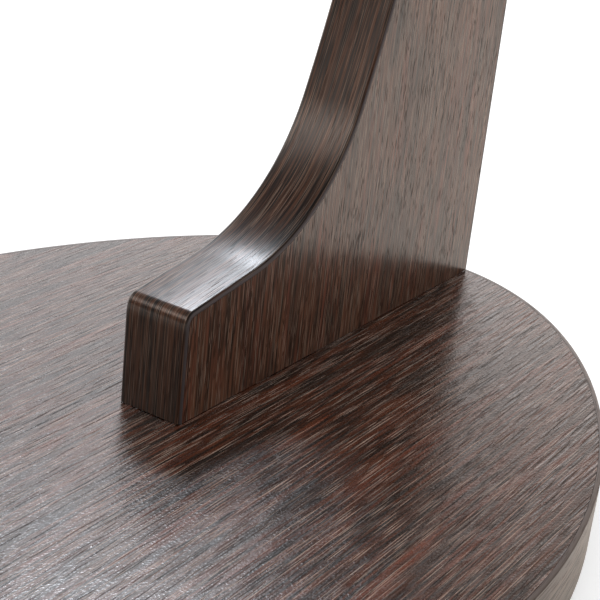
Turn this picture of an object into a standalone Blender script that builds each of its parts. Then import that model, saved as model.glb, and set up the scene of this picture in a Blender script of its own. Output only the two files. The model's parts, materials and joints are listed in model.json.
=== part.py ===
"""Hanging guitar stand: a pick-shaped base, a sail-shaped upright and a swivelling yoke.

Metres, +Z up. The toe and the yoke point forwards, along -Y, and the two broad faces of the
upright look along +X and -X. The origin is on the floor, under the middle of the base.
"""
import math

import bmesh
import bpy
import numpy as np
from mathutils import Euler, Vector

# Boards and their edge bands
BOARD = 0.025            # thickness of the base and of the upright
BAND = 0.0015            # thickness of the edge band
BAND_ROUND = 0.0013      # radius of the band's two outer arrises
GLUE_LINE = 0.0003       # between a band and its board
SEAT = 0.0003            # between any two pieces that rest on each other

# Base, seen from above: an egg whose narrow end is at the back
BASE_LENGTH = 0.377      # front to back, along Y
BASE_BREADTH = 0.2886    # across, of the ellipse that the egg comes from
BASE_TAPER = 0.16        # how much narrower the back is than the front

# Upright, seen from the side, from the toe up
FOOT_LENGTH = 0.2023     # toe front to back edge
BACK_SETBACK = 0.0015    # from the base's back tip to the upright's back edge
TOE_HEIGHT = 0.0385      # of the toe's top line, at the toe's front
TOE_ROUND = 0.0046       # radius of the toe's corner
TOE_EASE = 0.022         # radius of the wide bend that leads into the corner
TOE_EASE_END = math.radians(79)
TOE_RISE = math.radians(8.9)
TOE_RUN = 0.0357         # length of the toe's top line
SWEEP_RADIUS = 0.0774    # of the tight hollow above the toe
SWEEP_END = math.radians(67.4)
COLUMN_DEPTH = 0.064     # front to back, of the column that the flare ends in
UPRIGHT_HEIGHT = 0.985
TOP_FRONT_ROUND = 0.028
TOP_BACK_ROUND = 0.012

# Rubber feet and their screws
FOOT_HEIGHT = 0.005
FOOT_RADIUS = 0.012
FOOT_DRAFT = 0.0015      # how much narrower a foot is where it meets the floor
FOOT_INSET = 0.024       # from the base's rim to a foot's middle
FOOT_RECESS_RADIUS = 0.0048
FOOT_RECESS_DEPTH = 0.0028
FOOT_SCREW_RADIUS = 0.00175
FOOT_SCREW_HEAD_RADIUS = 0.0038
FOOT_SCREW_HEAD_HEIGHT = 0.0019
FOOT_SCREW_HEAD_FLAT = 0.0023
FOOT_SCREW_GRIP = 0.012  # how far a foot's screw goes into the base
FOOT_SCREW_POINT = 0.0035
FOOT_ANGLES = {"rear": 0.0, "side_left": -1.32, "side_right": 1.32,
               "front_left": -2.5, "front_right": 2.5}

# Bolts from under the base into threaded inserts in the upright, and dowels between them
BOLT_RADIUS = 0.003
BOLT_LENGTH = 0.030
BOLT_HEAD_RADIUS = 0.005
BOLT_HEAD_HEIGHT = 0.006
BOLT_SOCKET_FLATS = 0.005
BOLT_SOCKET_DEPTH = 0.003
BOLT_COUNT = 3
BOLT_END_DISTANCE = 0.050
BOLT_HOLE_PLAY = 0.0005
WASHER_RADIUS = 0.007
WASHER_THICKNESS = 0.0014
COUNTERBORE_DEPTH = 0.009
COUNTERBORE_PLAY = 0.001
INSERT_RADIUS = 0.0048
INSERT_LENGTH = 0.013
INSERT_TIP_ROOM = 0.004
DOWEL_RADIUS = 0.004
DOWEL_LENGTH = 0.030
DOWEL_CHAMFER = 0.001

# Yoke and its bearing in the column
YOKE_BELOW_TOP = 0.0506  # from the upright's top down to the swivel axis
ROD_RADIUS = 0.004
YOKE_GAP = 0.050         # clear between the two sleeves
YOKE_BEND = 0.015        # radius of the yoke's corners, at the middle of the rod
YOKE_REACH = 0.052       # from the column to the yoke's cross rod
PRONG_LENGTH = 0.072
PRONG_TILT = math.radians(8.0)
COLLAR_RADIUS = 0.0085
COLLAR_LENGTH = 0.005
SLEEVE_WALL = 0.004
SLEEVE_SIDE_GAP = 0.006  # bare cross rod between a sleeve and the shank
CAP_RADIUS = 0.0105
CAP_FLAT = 0.0045        # straight part of a cap, behind its round nose
CAP_CHAMFER = 0.001
CAP_NOSE_WALL = 0.00525  # rubber between a prong's end and the cap's nose
RUNNING = 0.0002         # radial clearance of the rod in its bushes
BUSH_WALL = 0.002
BUSH_LENGTH = 0.014
FRONT_FLANGE_RADIUS = 0.0108
FRONT_FLANGE = 0.003
REAR_FLANGE_RADIUS = 0.0080
REAR_FLANGE = 0.0015
STUD_RADIUS = 0.003      # threaded end of the rod
STUD_TIP = 0.002         # stud showing past the lock nut
NUT_FLATS = 0.010
NUT_HEIGHT = 0.006
YOKE_WASHER_RADIUS = 0.006
YOKE_WASHER_THICKNESS = 0.0012
NUT_WELL_RADIUS = 0.0085
NUT_WELL_ROOM = 0.003    # between the stud's end and the cover's plug
COVER_RADIUS = 0.0105
COVER_THICKNESS = 0.0011
COVER_PLUG = 0.004
COVER_WALL = 0.0012

# Pad that the guitar's back leans on
PAD_LENGTH = 0.090
PAD_WIDTH = 0.018
PAD_THICKNESS = 0.008
PAD_BELOW_YOKE = 0.495   # from the swivel axis down to the pad's middle
PAD_ROUND = 0.003

# How finely curves are cut into flat faces
RIM_STEPS = 144
ARC_STEP = math.radians(3.5)
FLARE_STEPS = 10
TOP_ROUND_STEPS = 8
ROUND_STEPS = 3
TURNED_STEPS = 24
ROD_SIDES = 16
ROUND_PROFILE = 0.5      # a bevel with this profile is an arc
CUT_PAST = 0.012         # how far a cutter runs past what it cuts

# Heights and places that follow from the sizes above
HEX_APOTHEM = math.cos(math.radians(30))
BASE_UNDERSIDE = FOOT_HEIGHT + SEAT
BASE_TOP = BASE_UNDERSIDE + BOARD
UPRIGHT_FOOT = BASE_TOP + SEAT
BACK_EDGE = BASE_LENGTH / 2 - BACK_SETBACK
TOE_FRONT = BACK_EDGE - FOOT_LENGTH
COLUMN_FRONT = BACK_EDGE - COLUMN_DEPTH
UPRIGHT_TOP = UPRIGHT_FOOT + UPRIGHT_HEIGHT
YOKE_HEIGHT = UPRIGHT_TOP - YOKE_BELOW_TOP
PAD_HEIGHT = YOKE_HEIGHT - PAD_BELOW_YOKE


def clear_scene():
    for thing in list(bpy.data.objects):
        bpy.data.objects.remove(thing, do_unlink=True)


def finish(name, colour, roughness, metallic=0.0):
    """One Principled material with a plain colour."""
    made = bpy.data.materials.new(name)
    made.use_nodes = True
    shader = made.node_tree.nodes["Principled BSDF"]
    shader.inputs["Base Color"].default_value = (*colour, 1.0)
    shader.inputs["Roughness"].default_value = roughness
    shader.inputs["Metallic"].default_value = metallic
    made.diffuse_color = (*colour, 1.0)
    return made


def place(name, mesh, look=None, parent=None, smooth=True):
    """Put a mesh into the scene as one named piece."""
    piece = bpy.data.objects.new(name, mesh)
    bpy.context.scene.collection.objects.link(piece)
    if look is not None and not mesh.materials:
        mesh.materials.append(look)
    if smooth:
        mesh.shade_smooth()
        mesh.set_sharp_from_angle(angle=math.radians(35))
    piece.parent = parent
    return piece


def mesh_from(name, points, faces):
    """A mesh from its points and faces, with every face pointing outwards."""
    mesh = bpy.data.meshes.new(name)
    mesh.from_pydata([tuple(map(float, point)) for point in points], [], faces)
    shape = bmesh.new()
    shape.from_mesh(mesh)
    bmesh.ops.recalc_face_normals(shape, faces=shape.faces)
    shape.to_mesh(mesh)
    shape.free()
    return mesh


def turned(name, profile, ring=False, steps=TURNED_STEPS):
    """Turn a profile of (radius, height) points about Z. A ring's profile is a closed loop."""
    shape = bmesh.new()
    corners = [shape.verts.new((radius, 0.0, height)) for radius, height in profile]
    edges = [shape.edges.new(pair) for pair in zip(corners, corners[1:])]
    if ring:
        edges.append(shape.edges.new((corners[-1], corners[0])))
    bmesh.ops.spin(shape, geom=corners + edges, axis=(0, 0, 1), cent=(0, 0, 0),
                   angle=2 * math.pi, steps=steps, use_merge=True)
    bmesh.ops.remove_doubles(shape, verts=shape.verts, dist=1e-6)
    bmesh.ops.recalc_face_normals(shape, faces=shape.faces)
    mesh = bpy.data.meshes.new(name)
    shape.to_mesh(mesh)
    shape.free()
    return mesh


def rod_profile(radius, low, high):
    return [(0.0, low), (radius, low), (radius, high), (0.0, high)]


def ring_profile(inner, outer, low, high):
    return [(inner, low), (outer, low), (outer, high), (inner, high)]


def copies(name, mesh, places, look):
    """Numbered pieces that share one mesh, one at each place."""
    made = []
    for number, spot in enumerate(places, start=1):
        piece = place(f"{name}_{number}", mesh, look)
        piece.location = spot
        made.append(piece)
    return made


def group(name, mesh, places):
    """Copies of one tool body at several places, in one mesh."""
    shape = bmesh.new()
    for spot in places:
        before = len(shape.verts)
        shape.from_mesh(mesh)
        shape.verts.ensure_lookup_table()
        bmesh.ops.translate(shape, verts=shape.verts[before:], vec=Vector(spot))
    joined = bpy.data.meshes.new(name)
    shape.to_mesh(joined)
    shape.free()
    return joined


def cutter(name, mesh):
    """A hidden tool body for Boolean cuts."""
    tool = place(name, mesh, smooth=False)
    tool.hide_render = True
    tool.display_type = 'WIRE'
    return tool


def combine(piece, tool, operation):
    change = piece.modifiers.new(tool.name, 'BOOLEAN')
    change.operation = operation
    change.object = tool
    change.solver = 'EXACT'


def turn_forwards(mesh):
    """Turn a mesh made along +Z so that it points along -Y."""
    mesh.transform(Euler((math.radians(90), 0, 0)).to_matrix().to_4x4())
    return mesh


# Outlines of the two boards

def base_outline():
    """The egg's points and inward normals, all the way round."""
    return rim_point(np.linspace(0, 2 * math.pi, RIM_STEPS, endpoint=False))


def rim_point(angle):
    """A point of the egg and its inward normal, at an angle a from the back tip.

    Half the length times cos a gives y, half the breadth times sin a (1 - taper cos a) gives x.
    """
    half_length = BASE_LENGTH / 2
    half_breadth = BASE_BREADTH / 2
    across = half_breadth * np.sin(angle) * (1 - BASE_TAPER * np.cos(angle))
    along = half_length * np.cos(angle)
    slope_across = half_breadth * (np.cos(angle) - BASE_TAPER * np.cos(2 * angle))
    slope_along = -half_length * np.sin(angle)
    length = np.hypot(slope_across, slope_along)
    inward = np.stack([slope_along / length, -slope_across / length], axis=-1)
    return np.stack([across, along], axis=-1), inward


def arc(start, heading_from, heading_to, radius, steps):
    """Points of an arc that leaves start and turns between two headings, and their headings."""
    turn = math.copysign(1.0, heading_to - heading_from)
    heading = np.linspace(heading_from, heading_to, steps + 1)[1:]
    y = start[0] + turn * radius * (np.sin(heading) - math.sin(heading_from))
    z = start[1] - turn * radius * (np.cos(heading) - math.cos(heading_from))
    return list(zip(y, z)), list(heading)


def steps_for(turn):
    return max(2, math.ceil(abs(turn) / ARC_STEP))


def upright_outline():
    """The upright's points in (y, z) and inward normals, from the toe's foot up and round."""
    upward = math.radians(90)
    toe_depth = (TOE_EASE * (1 - math.sin(TOE_EASE_END))
                 + TOE_ROUND * (math.sin(TOE_EASE_END) - math.sin(TOE_RISE)))
    toe_bends = (TOE_EASE * math.cos(TOE_EASE_END)
                 + TOE_ROUND * (math.cos(TOE_RISE) - math.cos(TOE_EASE_END)))
    toe_flat = TOE_HEIGHT + toe_depth * math.tan(TOE_RISE) - toe_bends
    flare_radius = (FOOT_LENGTH - COLUMN_DEPTH - TOE_RUN * math.cos(TOE_RISE)
                    - SWEEP_RADIUS * (math.sin(SWEEP_END) - math.sin(TOE_RISE)))
    flare_radius = flare_radius / (1 - math.sin(SWEEP_END))
    points = [(TOE_FRONT, UPRIGHT_FOOT)]
    headings = [upward]

    def line_to(y, z, heading):
        points.append((y, z))
        headings.append(heading)

    def bend(heading_to, radius, steps):
        more, turned_to = arc(points[-1], headings[-1], heading_to, radius, steps)
        points.extend(more)
        headings.extend(turned_to)

    line_to(TOE_FRONT, UPRIGHT_FOOT + toe_flat, upward)
    bend(TOE_EASE_END, TOE_EASE, ROUND_STEPS)
    bend(TOE_RISE, TOE_ROUND, 2 * ROUND_STEPS)
    line_to(TOE_FRONT + TOE_RUN * math.cos(TOE_RISE),
            UPRIGHT_FOOT + TOE_HEIGHT + TOE_RUN * math.sin(TOE_RISE), TOE_RISE)
    bend(SWEEP_END, SWEEP_RADIUS, steps_for(SWEEP_END - TOE_RISE))
    bend(upward, flare_radius, FLARE_STEPS)
    line_to(COLUMN_FRONT, UPRIGHT_TOP - TOP_FRONT_ROUND, upward)
    bend(0.0, TOP_FRONT_ROUND, TOP_ROUND_STEPS)
    line_to(BACK_EDGE - TOP_BACK_ROUND, UPRIGHT_TOP, 0.0)
    bend(-upward, TOP_BACK_ROUND, TOP_ROUND_STEPS)
    line_to(BACK_EDGE, UPRIGHT_FOOT, -upward)
    heading = np.array(headings)
    inward = np.stack([np.sin(heading), -np.cos(heading)], axis=-1)
    return np.array(points), inward


# Boards and bands

def slab(name, outline, low, high):
    """A board: a closed outline in the plane of the first two axes, from low to high."""
    count = len(outline)
    bottom = [(*point, low) for point in outline]
    top = [(*point, high) for point in outline]
    faces = [tuple(range(count)), tuple(range(count, 2 * count))]
    for here in range(count):
        after = (here + 1) % count
        faces.append((here, after, count + after, count + here))
    return mesh_from(name, bottom + top, faces)


def band_section():
    """The band's cross section as (side, depth): side runs across the board, depth into it."""
    half = BOARD / 2
    corner = half - BAND_ROUND
    section = [(-half, BAND)]
    for side in (-1, 1):
        for step in range(ROUND_STEPS + 1):
            angle = math.radians(90) * (step if side < 0 else ROUND_STEPS - step) / ROUND_STEPS
            across = corner + BAND_ROUND * math.cos(angle)
            section.append((side * across, BAND_ROUND - BAND_ROUND * math.sin(angle)))
    section.append((half, BAND))
    return np.array(section)


def swept_band(name, outline, inward, closed, to_world):
    """The band's cross section carried along an outline, with end faces if it is open."""
    section = band_section()
    along = outline[:, None, :] + section[None, :, 1:2] * inward[:, None, :]
    side = np.broadcast_to(section[None, :, 0:1], along.shape[:2] + (1,))
    grid = to_world(np.concatenate([along, side], axis=-1))
    rows, columns = grid.shape[:2]
    faces = []
    for row in range(rows if closed else rows - 1):
        here = row * columns
        after = (row + 1) % rows * columns
        for column in range(columns):
            beside = (column + 1) % columns
            faces.append((here + column, here + beside, after + beside, after + column))
    if not closed:
        faces.append(tuple(range(columns)))
        faces.append(tuple(range((rows - 1) * columns, rows * columns)))
    return mesh_from(name, grid.reshape(-1, 3), faces)


def base_pieces(wood, edging, holes):
    outline, inward = base_outline()
    board = slab("base_board", outline + (BAND + GLUE_LINE) * inward, BASE_UNDERSIDE, BASE_TOP)
    piece = place("base_board", board, wood)
    for hole in holes:
        combine(piece, hole, 'DIFFERENCE')
    middle = (BASE_UNDERSIDE + BASE_TOP) / 2
    band = swept_band("base_edge_band", outline, inward, True,
                      lambda grid: grid + np.array([0.0, 0.0, middle]))
    place("base_edge_band", band, edging)


def upright_pieces(wood, edging, holes, bearing):
    outline, inward = upright_outline()
    half = BOARD / 2
    core = outline + (BAND + GLUE_LINE) * inward
    board = slab("upright_board", core, -half, half)
    board.transform(side_to_world())
    piece = place("upright_board", board, wood)
    for hole in holes + [bearing]:
        combine(piece, hole, 'DIFFERENCE')
    band = swept_band("upright_edge_band", outline, inward, False,
                      lambda grid: grid[..., [2, 0, 1]])
    piece = place("upright_edge_band", band, edging)
    combine(piece, bearing, 'DIFFERENCE')


def side_to_world():
    """Takes (y, z, x) to (x, y, z)."""
    return Euler((math.radians(90), 0, math.radians(90))).to_matrix().to_4x4()


# Joint between the base and the upright

def bolt_spots():
    first = TOE_FRONT + BOLT_END_DISTANCE
    last = BACK_EDGE - BOLT_END_DISTANCE
    return [(0.0, y, 0.0) for y in np.linspace(first, last, BOLT_COUNT)]


def dowel_spots():
    bolts = bolt_spots()
    return [(0.0, (one[1] + other[1]) / 2, 0.0) for one, other in zip(bolts, bolts[1:])]


def bolt_pieces(steel, zinc, beech):
    """Bolts, washers, inserts and dowels, and the cutters for their holes."""
    shoulder = BASE_UNDERSIDE + COUNTERBORE_DEPTH
    washer_low = shoulder - SEAT - WASHER_THICKNESS
    head_high = washer_low - SEAT
    head_low = head_high - BOLT_HEAD_HEIGHT
    tip = head_high + BOLT_LENGTH
    bolt = turned("bolt", [(0.0, head_low), (BOLT_HEAD_RADIUS, head_low),
                           (BOLT_HEAD_RADIUS, head_high), (BOLT_RADIUS, head_high),
                           (BOLT_RADIUS, tip), (0.0, tip)])
    socket = turned("bolt_socket", rod_profile(BOLT_SOCKET_FLATS / 2 / HEX_APOTHEM,
                                               head_low - CUT_PAST,
                                               head_low + BOLT_SOCKET_DEPTH), steps=6)
    washer = turned("washer", ring_profile(BOLT_RADIUS + SEAT, WASHER_RADIUS,
                                           washer_low, washer_low + WASHER_THICKNESS), ring=True)
    insert_low = UPRIGHT_FOOT + SEAT
    insert_high = insert_low + INSERT_LENGTH
    insert = turned("insert", ring_profile(BOLT_RADIUS + SEAT, INSERT_RADIUS,
                                           insert_low, insert_high), ring=True)
    half = DOWEL_LENGTH / 2
    low = BASE_TOP - half
    high = BASE_TOP + half
    dowel = turned("dowel", [(0.0, low), (DOWEL_RADIUS - DOWEL_CHAMFER, low),
                             (DOWEL_RADIUS, low + DOWEL_CHAMFER),
                             (DOWEL_RADIUS, high - DOWEL_CHAMFER),
                             (DOWEL_RADIUS - DOWEL_CHAMFER, high), (0.0, high)])
    bolts = bolt_spots()
    dowels = dowel_spots()
    sockets = cutter("bolt_socket_tool", group("bolt_socket_tool", socket, bolts))
    for piece in copies("joint_bolt", bolt, bolts, steel):
        combine(piece, sockets, 'DIFFERENCE')
    copies("joint_washer", washer, bolts, steel)
    copies("threaded_insert", insert, bolts, zinc)
    copies("alignment_dowel", dowel, dowels, beech)

    wide = WASHER_RADIUS + COUNTERBORE_PLAY
    narrow = BOLT_RADIUS + BOLT_HOLE_PLAY
    through = turned("bolt_hole", [(0.0, BASE_UNDERSIDE - CUT_PAST),
                                   (wide, BASE_UNDERSIDE - CUT_PAST), (wide, shoulder),
                                   (narrow, shoulder), (narrow, BASE_TOP + CUT_PAST),
                                   (0.0, BASE_TOP + CUT_PAST)])
    insert_end = max(insert_high, tip) + INSERT_TIP_ROOM
    blind = turned("insert_hole", rod_profile(INSERT_RADIUS + SEAT, UPRIGHT_FOOT - CUT_PAST,
                                              insert_end))
    pocket = turned("dowel_hole", rod_profile(DOWEL_RADIUS + SEAT, low - SEAT, high + SEAT))
    dowel_holes = cutter("dowel_hole_tool", group("dowel_hole_tool", pocket, dowels))
    base_holes = cutter("bolt_hole_tool", group("bolt_hole_tool", through, bolts))
    insert_holes = cutter("insert_hole_tool", group("insert_hole_tool", blind, bolts))
    return [base_holes, dowel_holes], [insert_holes, dowel_holes]


# Feet

def foot_pieces(rubber, steel):
    """Rubber feet with a screw each, and the cutter for the screws' pilot holes."""
    spots = {}
    for name, angle in FOOT_ANGLES.items():
        rim, inward = rim_point(np.array(angle))
        spot = rim + FOOT_INSET * inward
        spots[name] = (float(spot[0]), float(spot[1]), 0.0)
    hole = FOOT_SCREW_RADIUS + SEAT
    foot = turned("foot", [(hole, FOOT_RECESS_DEPTH), (FOOT_RECESS_RADIUS, FOOT_RECESS_DEPTH),
                           (FOOT_RECESS_RADIUS, 0.0), (FOOT_RADIUS - FOOT_DRAFT, 0.0),
                           (FOOT_RADIUS, FOOT_DRAFT), (FOOT_RADIUS, FOOT_HEIGHT),
                           (hole, FOOT_HEIGHT)], ring=True)
    for name, spot in spots.items():
        place("foot_" + name, foot, rubber).location = spot
    head_high = FOOT_RECESS_DEPTH - SEAT
    head_low = head_high - FOOT_SCREW_HEAD_HEIGHT
    tip = BASE_UNDERSIDE + FOOT_SCREW_GRIP
    screw = turned("foot_screw", [(0.0, head_low), (FOOT_SCREW_HEAD_FLAT, head_low),
                                  (FOOT_SCREW_HEAD_RADIUS, head_high),
                                  (FOOT_SCREW_RADIUS, head_high),
                                  (FOOT_SCREW_RADIUS, tip - FOOT_SCREW_POINT), (0.0, tip)],
                   steps=TURNED_STEPS // 2)
    places = list(spots.values())
    copies("foot_screw", screw, places, steel)
    pilot = turned("pilot", rod_profile(hole, BASE_UNDERSIDE - CUT_PAST, tip + SEAT),
                   steps=TURNED_STEPS // 2)
    return cutter("foot_hole_tool", group("foot_hole_tool", pilot, places))


# Yoke's bearing in the column, in lengths forward of the column's front

def bearing_stations():
    """Where each piece on the yoke's shank starts and ends, forward of the column's front."""
    at = {"front_flange": SEAT + FRONT_FLANGE}
    at["collar_back"] = at["front_flange"] + SEAT
    at["collar_front"] = at["collar_back"] + COLLAR_LENGTH
    at["cover_seat"] = -COLUMN_DEPTH - SEAT
    at["stud_end"] = at["cover_seat"] + COVER_PLUG + NUT_WELL_ROOM
    at["nut_back"] = at["stud_end"] + STUD_TIP
    at["nut_front"] = at["nut_back"] + NUT_HEIGHT
    at["washer_back"] = at["nut_front"] + SEAT
    at["washer_front"] = at["washer_back"] + YOKE_WASHER_THICKNESS
    at["shoulder"] = at["washer_front"] + SEAT
    at["flange_back"] = at["shoulder"] + SEAT
    at["flange_front"] = at["flange_back"] + REAR_FLANGE
    at["well_floor"] = at["flange_front"] + SEAT
    return at


def bearing_tool(pivot):
    """The cutter for the shank's bore and the nut's well."""
    at = bearing_stations()
    bore = ROD_RADIUS + RUNNING + BUSH_WALL + SEAT
    back = -COLUMN_DEPTH - CUT_PAST
    profile = [(0.0, back), (NUT_WELL_RADIUS, back), (NUT_WELL_RADIUS, at["well_floor"]),
               (bore, at["well_floor"]), (bore, CUT_PAST), (0.0, CUT_PAST)]
    tool = cutter("bearing_tool", turn_forwards(turned("bearing_tool", profile)))
    tool.location = pivot
    return tool


def bearing_pieces(pivot, nylon, black):
    """The two flanged bushes and the cover over the nut, which stay with the column."""
    at = bearing_stations()
    bore = ROD_RADIUS + RUNNING
    body = bore + BUSH_WALL
    front = turned("front_bush", [(bore, SEAT - BUSH_LENGTH), (body, SEAT - BUSH_LENGTH),
                                  (body, SEAT), (FRONT_FLANGE_RADIUS, SEAT),
                                  (FRONT_FLANGE_RADIUS, at["front_flange"]),
                                  (bore, at["front_flange"])], ring=True)
    rear = turned("rear_bush", [(bore, at["flange_back"]), (REAR_FLANGE_RADIUS, at["flange_back"]),
                                (REAR_FLANGE_RADIUS, at["flange_front"]),
                                (body, at["flange_front"]),
                                (body, at["flange_front"] + BUSH_LENGTH),
                                (bore, at["flange_front"] + BUSH_LENGTH)], ring=True)
    seat = at["cover_seat"]
    plug = NUT_WELL_RADIUS - SEAT
    cover = turned("rear_cover", [(0.0, seat - COVER_THICKNESS),
                                  (COVER_RADIUS - COVER_THICKNESS / 2, seat - COVER_THICKNESS),
                                  (COVER_RADIUS, seat - COVER_THICKNESS / 2), (COVER_RADIUS, seat),
                                  (plug, seat), (plug, seat + COVER_PLUG),
                                  (plug - COVER_WALL, seat + COVER_PLUG),
                                  (plug - COVER_WALL, seat), (0.0, seat)])
    for name, mesh, look in (("front_bush", front, nylon), ("rear_bush", rear, nylon),
                             ("rear_cover", cover, black)):
        place(name, turn_forwards(mesh), look).location = pivot


# Yoke: one bent rod in a tilted plane, on a shank along the swivel axis

def yoke_half_spacing():
    return YOKE_GAP / 2 + SLEEVE_WALL + ROD_RADIUS


def cap_bore_depth():
    return CAP_FLAT + CAP_RADIUS - CAP_NOSE_WALL


def sleeve_front():
    """How far along a prong its sleeve reaches, from the cross rod's middle line.

    The cap's bore clears the prong's end by a seat and the sleeve clears the cap by another, so
    the two seats cancel.
    """
    return PRONG_LENGTH - cap_bore_depth()


def yoke_path(first, last):
    """Middle line of the rod in the yoke's plane, as (across, along) points and headings.

    It starts on the left prong, at the length first along it, and runs back to the cross rod.
    With last above zero it goes on to that length along the right prong. With last below zero
    it stops on the cross rod, at that place across.
    """
    spacing = yoke_half_spacing()
    down = math.radians(-90)
    points = [(-spacing, first), (-spacing, YOKE_BEND)]
    headings = [down, down]
    more, turned_to = arc(points[-1], down, 0.0, YOKE_BEND, 2 * ROUND_STEPS)
    points.extend(more)
    headings.extend(turned_to)
    if last < 0:
        points.append((last, 0.0))
        headings.append(0.0)
        return np.array(points), np.array(headings)
    points.append((spacing - YOKE_BEND, 0.0))
    headings.append(0.0)
    more, turned_to = arc(points[-1], 0.0, -down, YOKE_BEND, 2 * ROUND_STEPS)
    points.extend(more)
    headings.extend(turned_to)
    points.append((spacing, last))
    headings.append(-down)
    return np.array(points), np.array(headings)


def yoke_tube(name, path, outer, inner=None, side=1):
    """A rod, or a pipe where inner is given, along a path in the yoke's tilted plane."""
    points, headings = path
    across = np.array([side, 0.0, 0.0])
    along = np.array([0.0, -math.cos(PRONG_TILT), math.sin(PRONG_TILT)])
    normal = np.cross(across, along)
    start = np.array([0.0, -YOKE_REACH, 0.0])
    middle = start + points[:, :1] * across + points[:, 1:] * along
    sideways = -np.sin(headings)[:, None] * across + np.cos(headings)[:, None] * along
    angle = np.linspace(0, 2 * math.pi, ROD_SIDES, endpoint=False)
    ring = np.cos(angle)[None, :, None] * sideways[:, None, :]
    ring = ring + np.sin(angle)[None, :, None] * normal
    walls = [middle[:, None, :] + outer * ring]
    if inner is not None:
        walls.append(middle[:, None, :] + inner * ring)
    corners = np.concatenate([wall.reshape(-1, 3) for wall in walls])
    rows = len(points)
    faces = []
    for wall in range(len(walls)):
        for row in range(rows - 1):
            here = (wall * rows + row) * ROD_SIDES
            for step in range(ROD_SIDES):
                beside = (step + 1) % ROD_SIDES
                faces.append((here + step, here + beside,
                              here + ROD_SIDES + beside, here + ROD_SIDES + step))
    for row in (0, rows - 1):
        here = row * ROD_SIDES
        if inner is None:
            faces.append(tuple(range(here, here + ROD_SIDES)))
            continue
        hole = here + rows * ROD_SIDES
        for step in range(ROD_SIDES):
            beside = (step + 1) % ROD_SIDES
            faces.append((here + step, here + beside, hole + beside, hole + step))
    return mesh_from(name, corners, faces)


def prong_cap():
    """A round-nosed cap with a blind bore, its open end at height zero."""
    bore = ROD_RADIUS + SEAT
    profile = [(0.0, cap_bore_depth()), (bore, cap_bore_depth()), (bore, 0.0),
               (CAP_RADIUS - CAP_CHAMFER, 0.0), (CAP_RADIUS, CAP_CHAMFER)]
    for angle in np.linspace(0, math.radians(90), 3 * ROUND_STEPS)[:-1]:
        profile.append((CAP_RADIUS * math.cos(angle), CAP_FLAT + CAP_RADIUS * math.sin(angle)))
    profile.append((0.0, CAP_FLAT + CAP_RADIUS))
    return turned("prong_cap", profile)


def yoke_pieces(pivot, black, rubber, steel):
    """Everything that swivels: the welded yoke, its sleeves and caps, its washer and nut."""
    at = bearing_stations()
    hub = bpy.data.objects.new("yoke_pivot", None)
    bpy.context.scene.collection.objects.link(hub)
    hub.location = pivot
    prongs = yoke_path(PRONG_LENGTH, PRONG_LENGTH)
    yoke = place("yoke", yoke_tube("yoke", prongs, ROD_RADIUS), black, hub)
    shank = turned("shank", [(0.0, at["stud_end"]), (STUD_RADIUS, at["stud_end"]),
                             (STUD_RADIUS, at["shoulder"]), (ROD_RADIUS, at["shoulder"]),
                             (ROD_RADIUS, at["collar_back"]), (COLLAR_RADIUS, at["collar_back"]),
                             (COLLAR_RADIUS, at["collar_front"]), (ROD_RADIUS, at["collar_front"]),
                             (ROD_RADIUS, YOKE_REACH), (0.0, YOKE_REACH)])
    tool = cutter("shank_tool", turn_forwards(shank))
    tool.parent = hub
    combine(yoke, tool, 'UNION')

    stop = -(ROD_RADIUS + SLEEVE_SIDE_GAP)
    cap = prong_cap()
    tilt = Euler((math.radians(90) - PRONG_TILT, 0, 0))
    for name, side in (("left", 1), ("right", -1)):
        path = yoke_path(sleeve_front(), stop)
        sleeve = yoke_tube("sleeve_" + name, path, ROD_RADIUS + SLEEVE_WALL,
                           ROD_RADIUS + SEAT, side)
        place("sleeve_" + name, sleeve, rubber, hub)
        piece = place("prong_cap_" + name, cap, rubber, hub)
        piece.rotation_euler = tilt
        reach = sleeve_front() + SEAT
        piece.location = (-side * yoke_half_spacing(), -YOKE_REACH - reach * math.cos(PRONG_TILT),
                          reach * math.sin(PRONG_TILT))

    washer = turned("yoke_washer", ring_profile(STUD_RADIUS + SEAT, YOKE_WASHER_RADIUS,
                                                at["washer_back"], at["washer_front"]), ring=True)
    place("yoke_washer", turn_forwards(washer), steel, hub)
    nut = turned("yoke_lock_nut", rod_profile(NUT_FLATS / 2 / HEX_APOTHEM, at["nut_back"],
                                              at["nut_front"]), steps=6)
    lock_nut = place("yoke_lock_nut", turn_forwards(nut), steel, hub)
    thread = turned("nut_bore_tool", rod_profile(STUD_RADIUS + SEAT, at["nut_back"] - CUT_PAST,
                                                 at["nut_front"] + CUT_PAST))
    bore = cutter("nut_bore_tool", turn_forwards(thread))
    bore.parent = hub
    combine(lock_nut, bore, 'DIFFERENCE')


def pad_piece(foam):
    """The pad on the column's front: a block with rounded edges."""
    shape = bmesh.new()
    bmesh.ops.create_cube(shape, size=1.0)
    bmesh.ops.scale(shape, verts=shape.verts, vec=(PAD_WIDTH, PAD_THICKNESS, PAD_LENGTH))
    front = [edge for edge in shape.edges if all(corner.co.y < 0 for corner in edge.verts)]
    bmesh.ops.bevel(shape, geom=front, offset=PAD_ROUND, segments=ROUND_STEPS, affect='EDGES',
                    profile=ROUND_PROFILE)
    mesh = bpy.data.meshes.new("body_pad")
    shape.to_mesh(mesh)
    shape.free()
    pad = place("body_pad", mesh, foam)
    pad.location = (0.0, COLUMN_FRONT - SEAT - PAD_THICKNESS / 2, PAD_HEIGHT)


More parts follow.
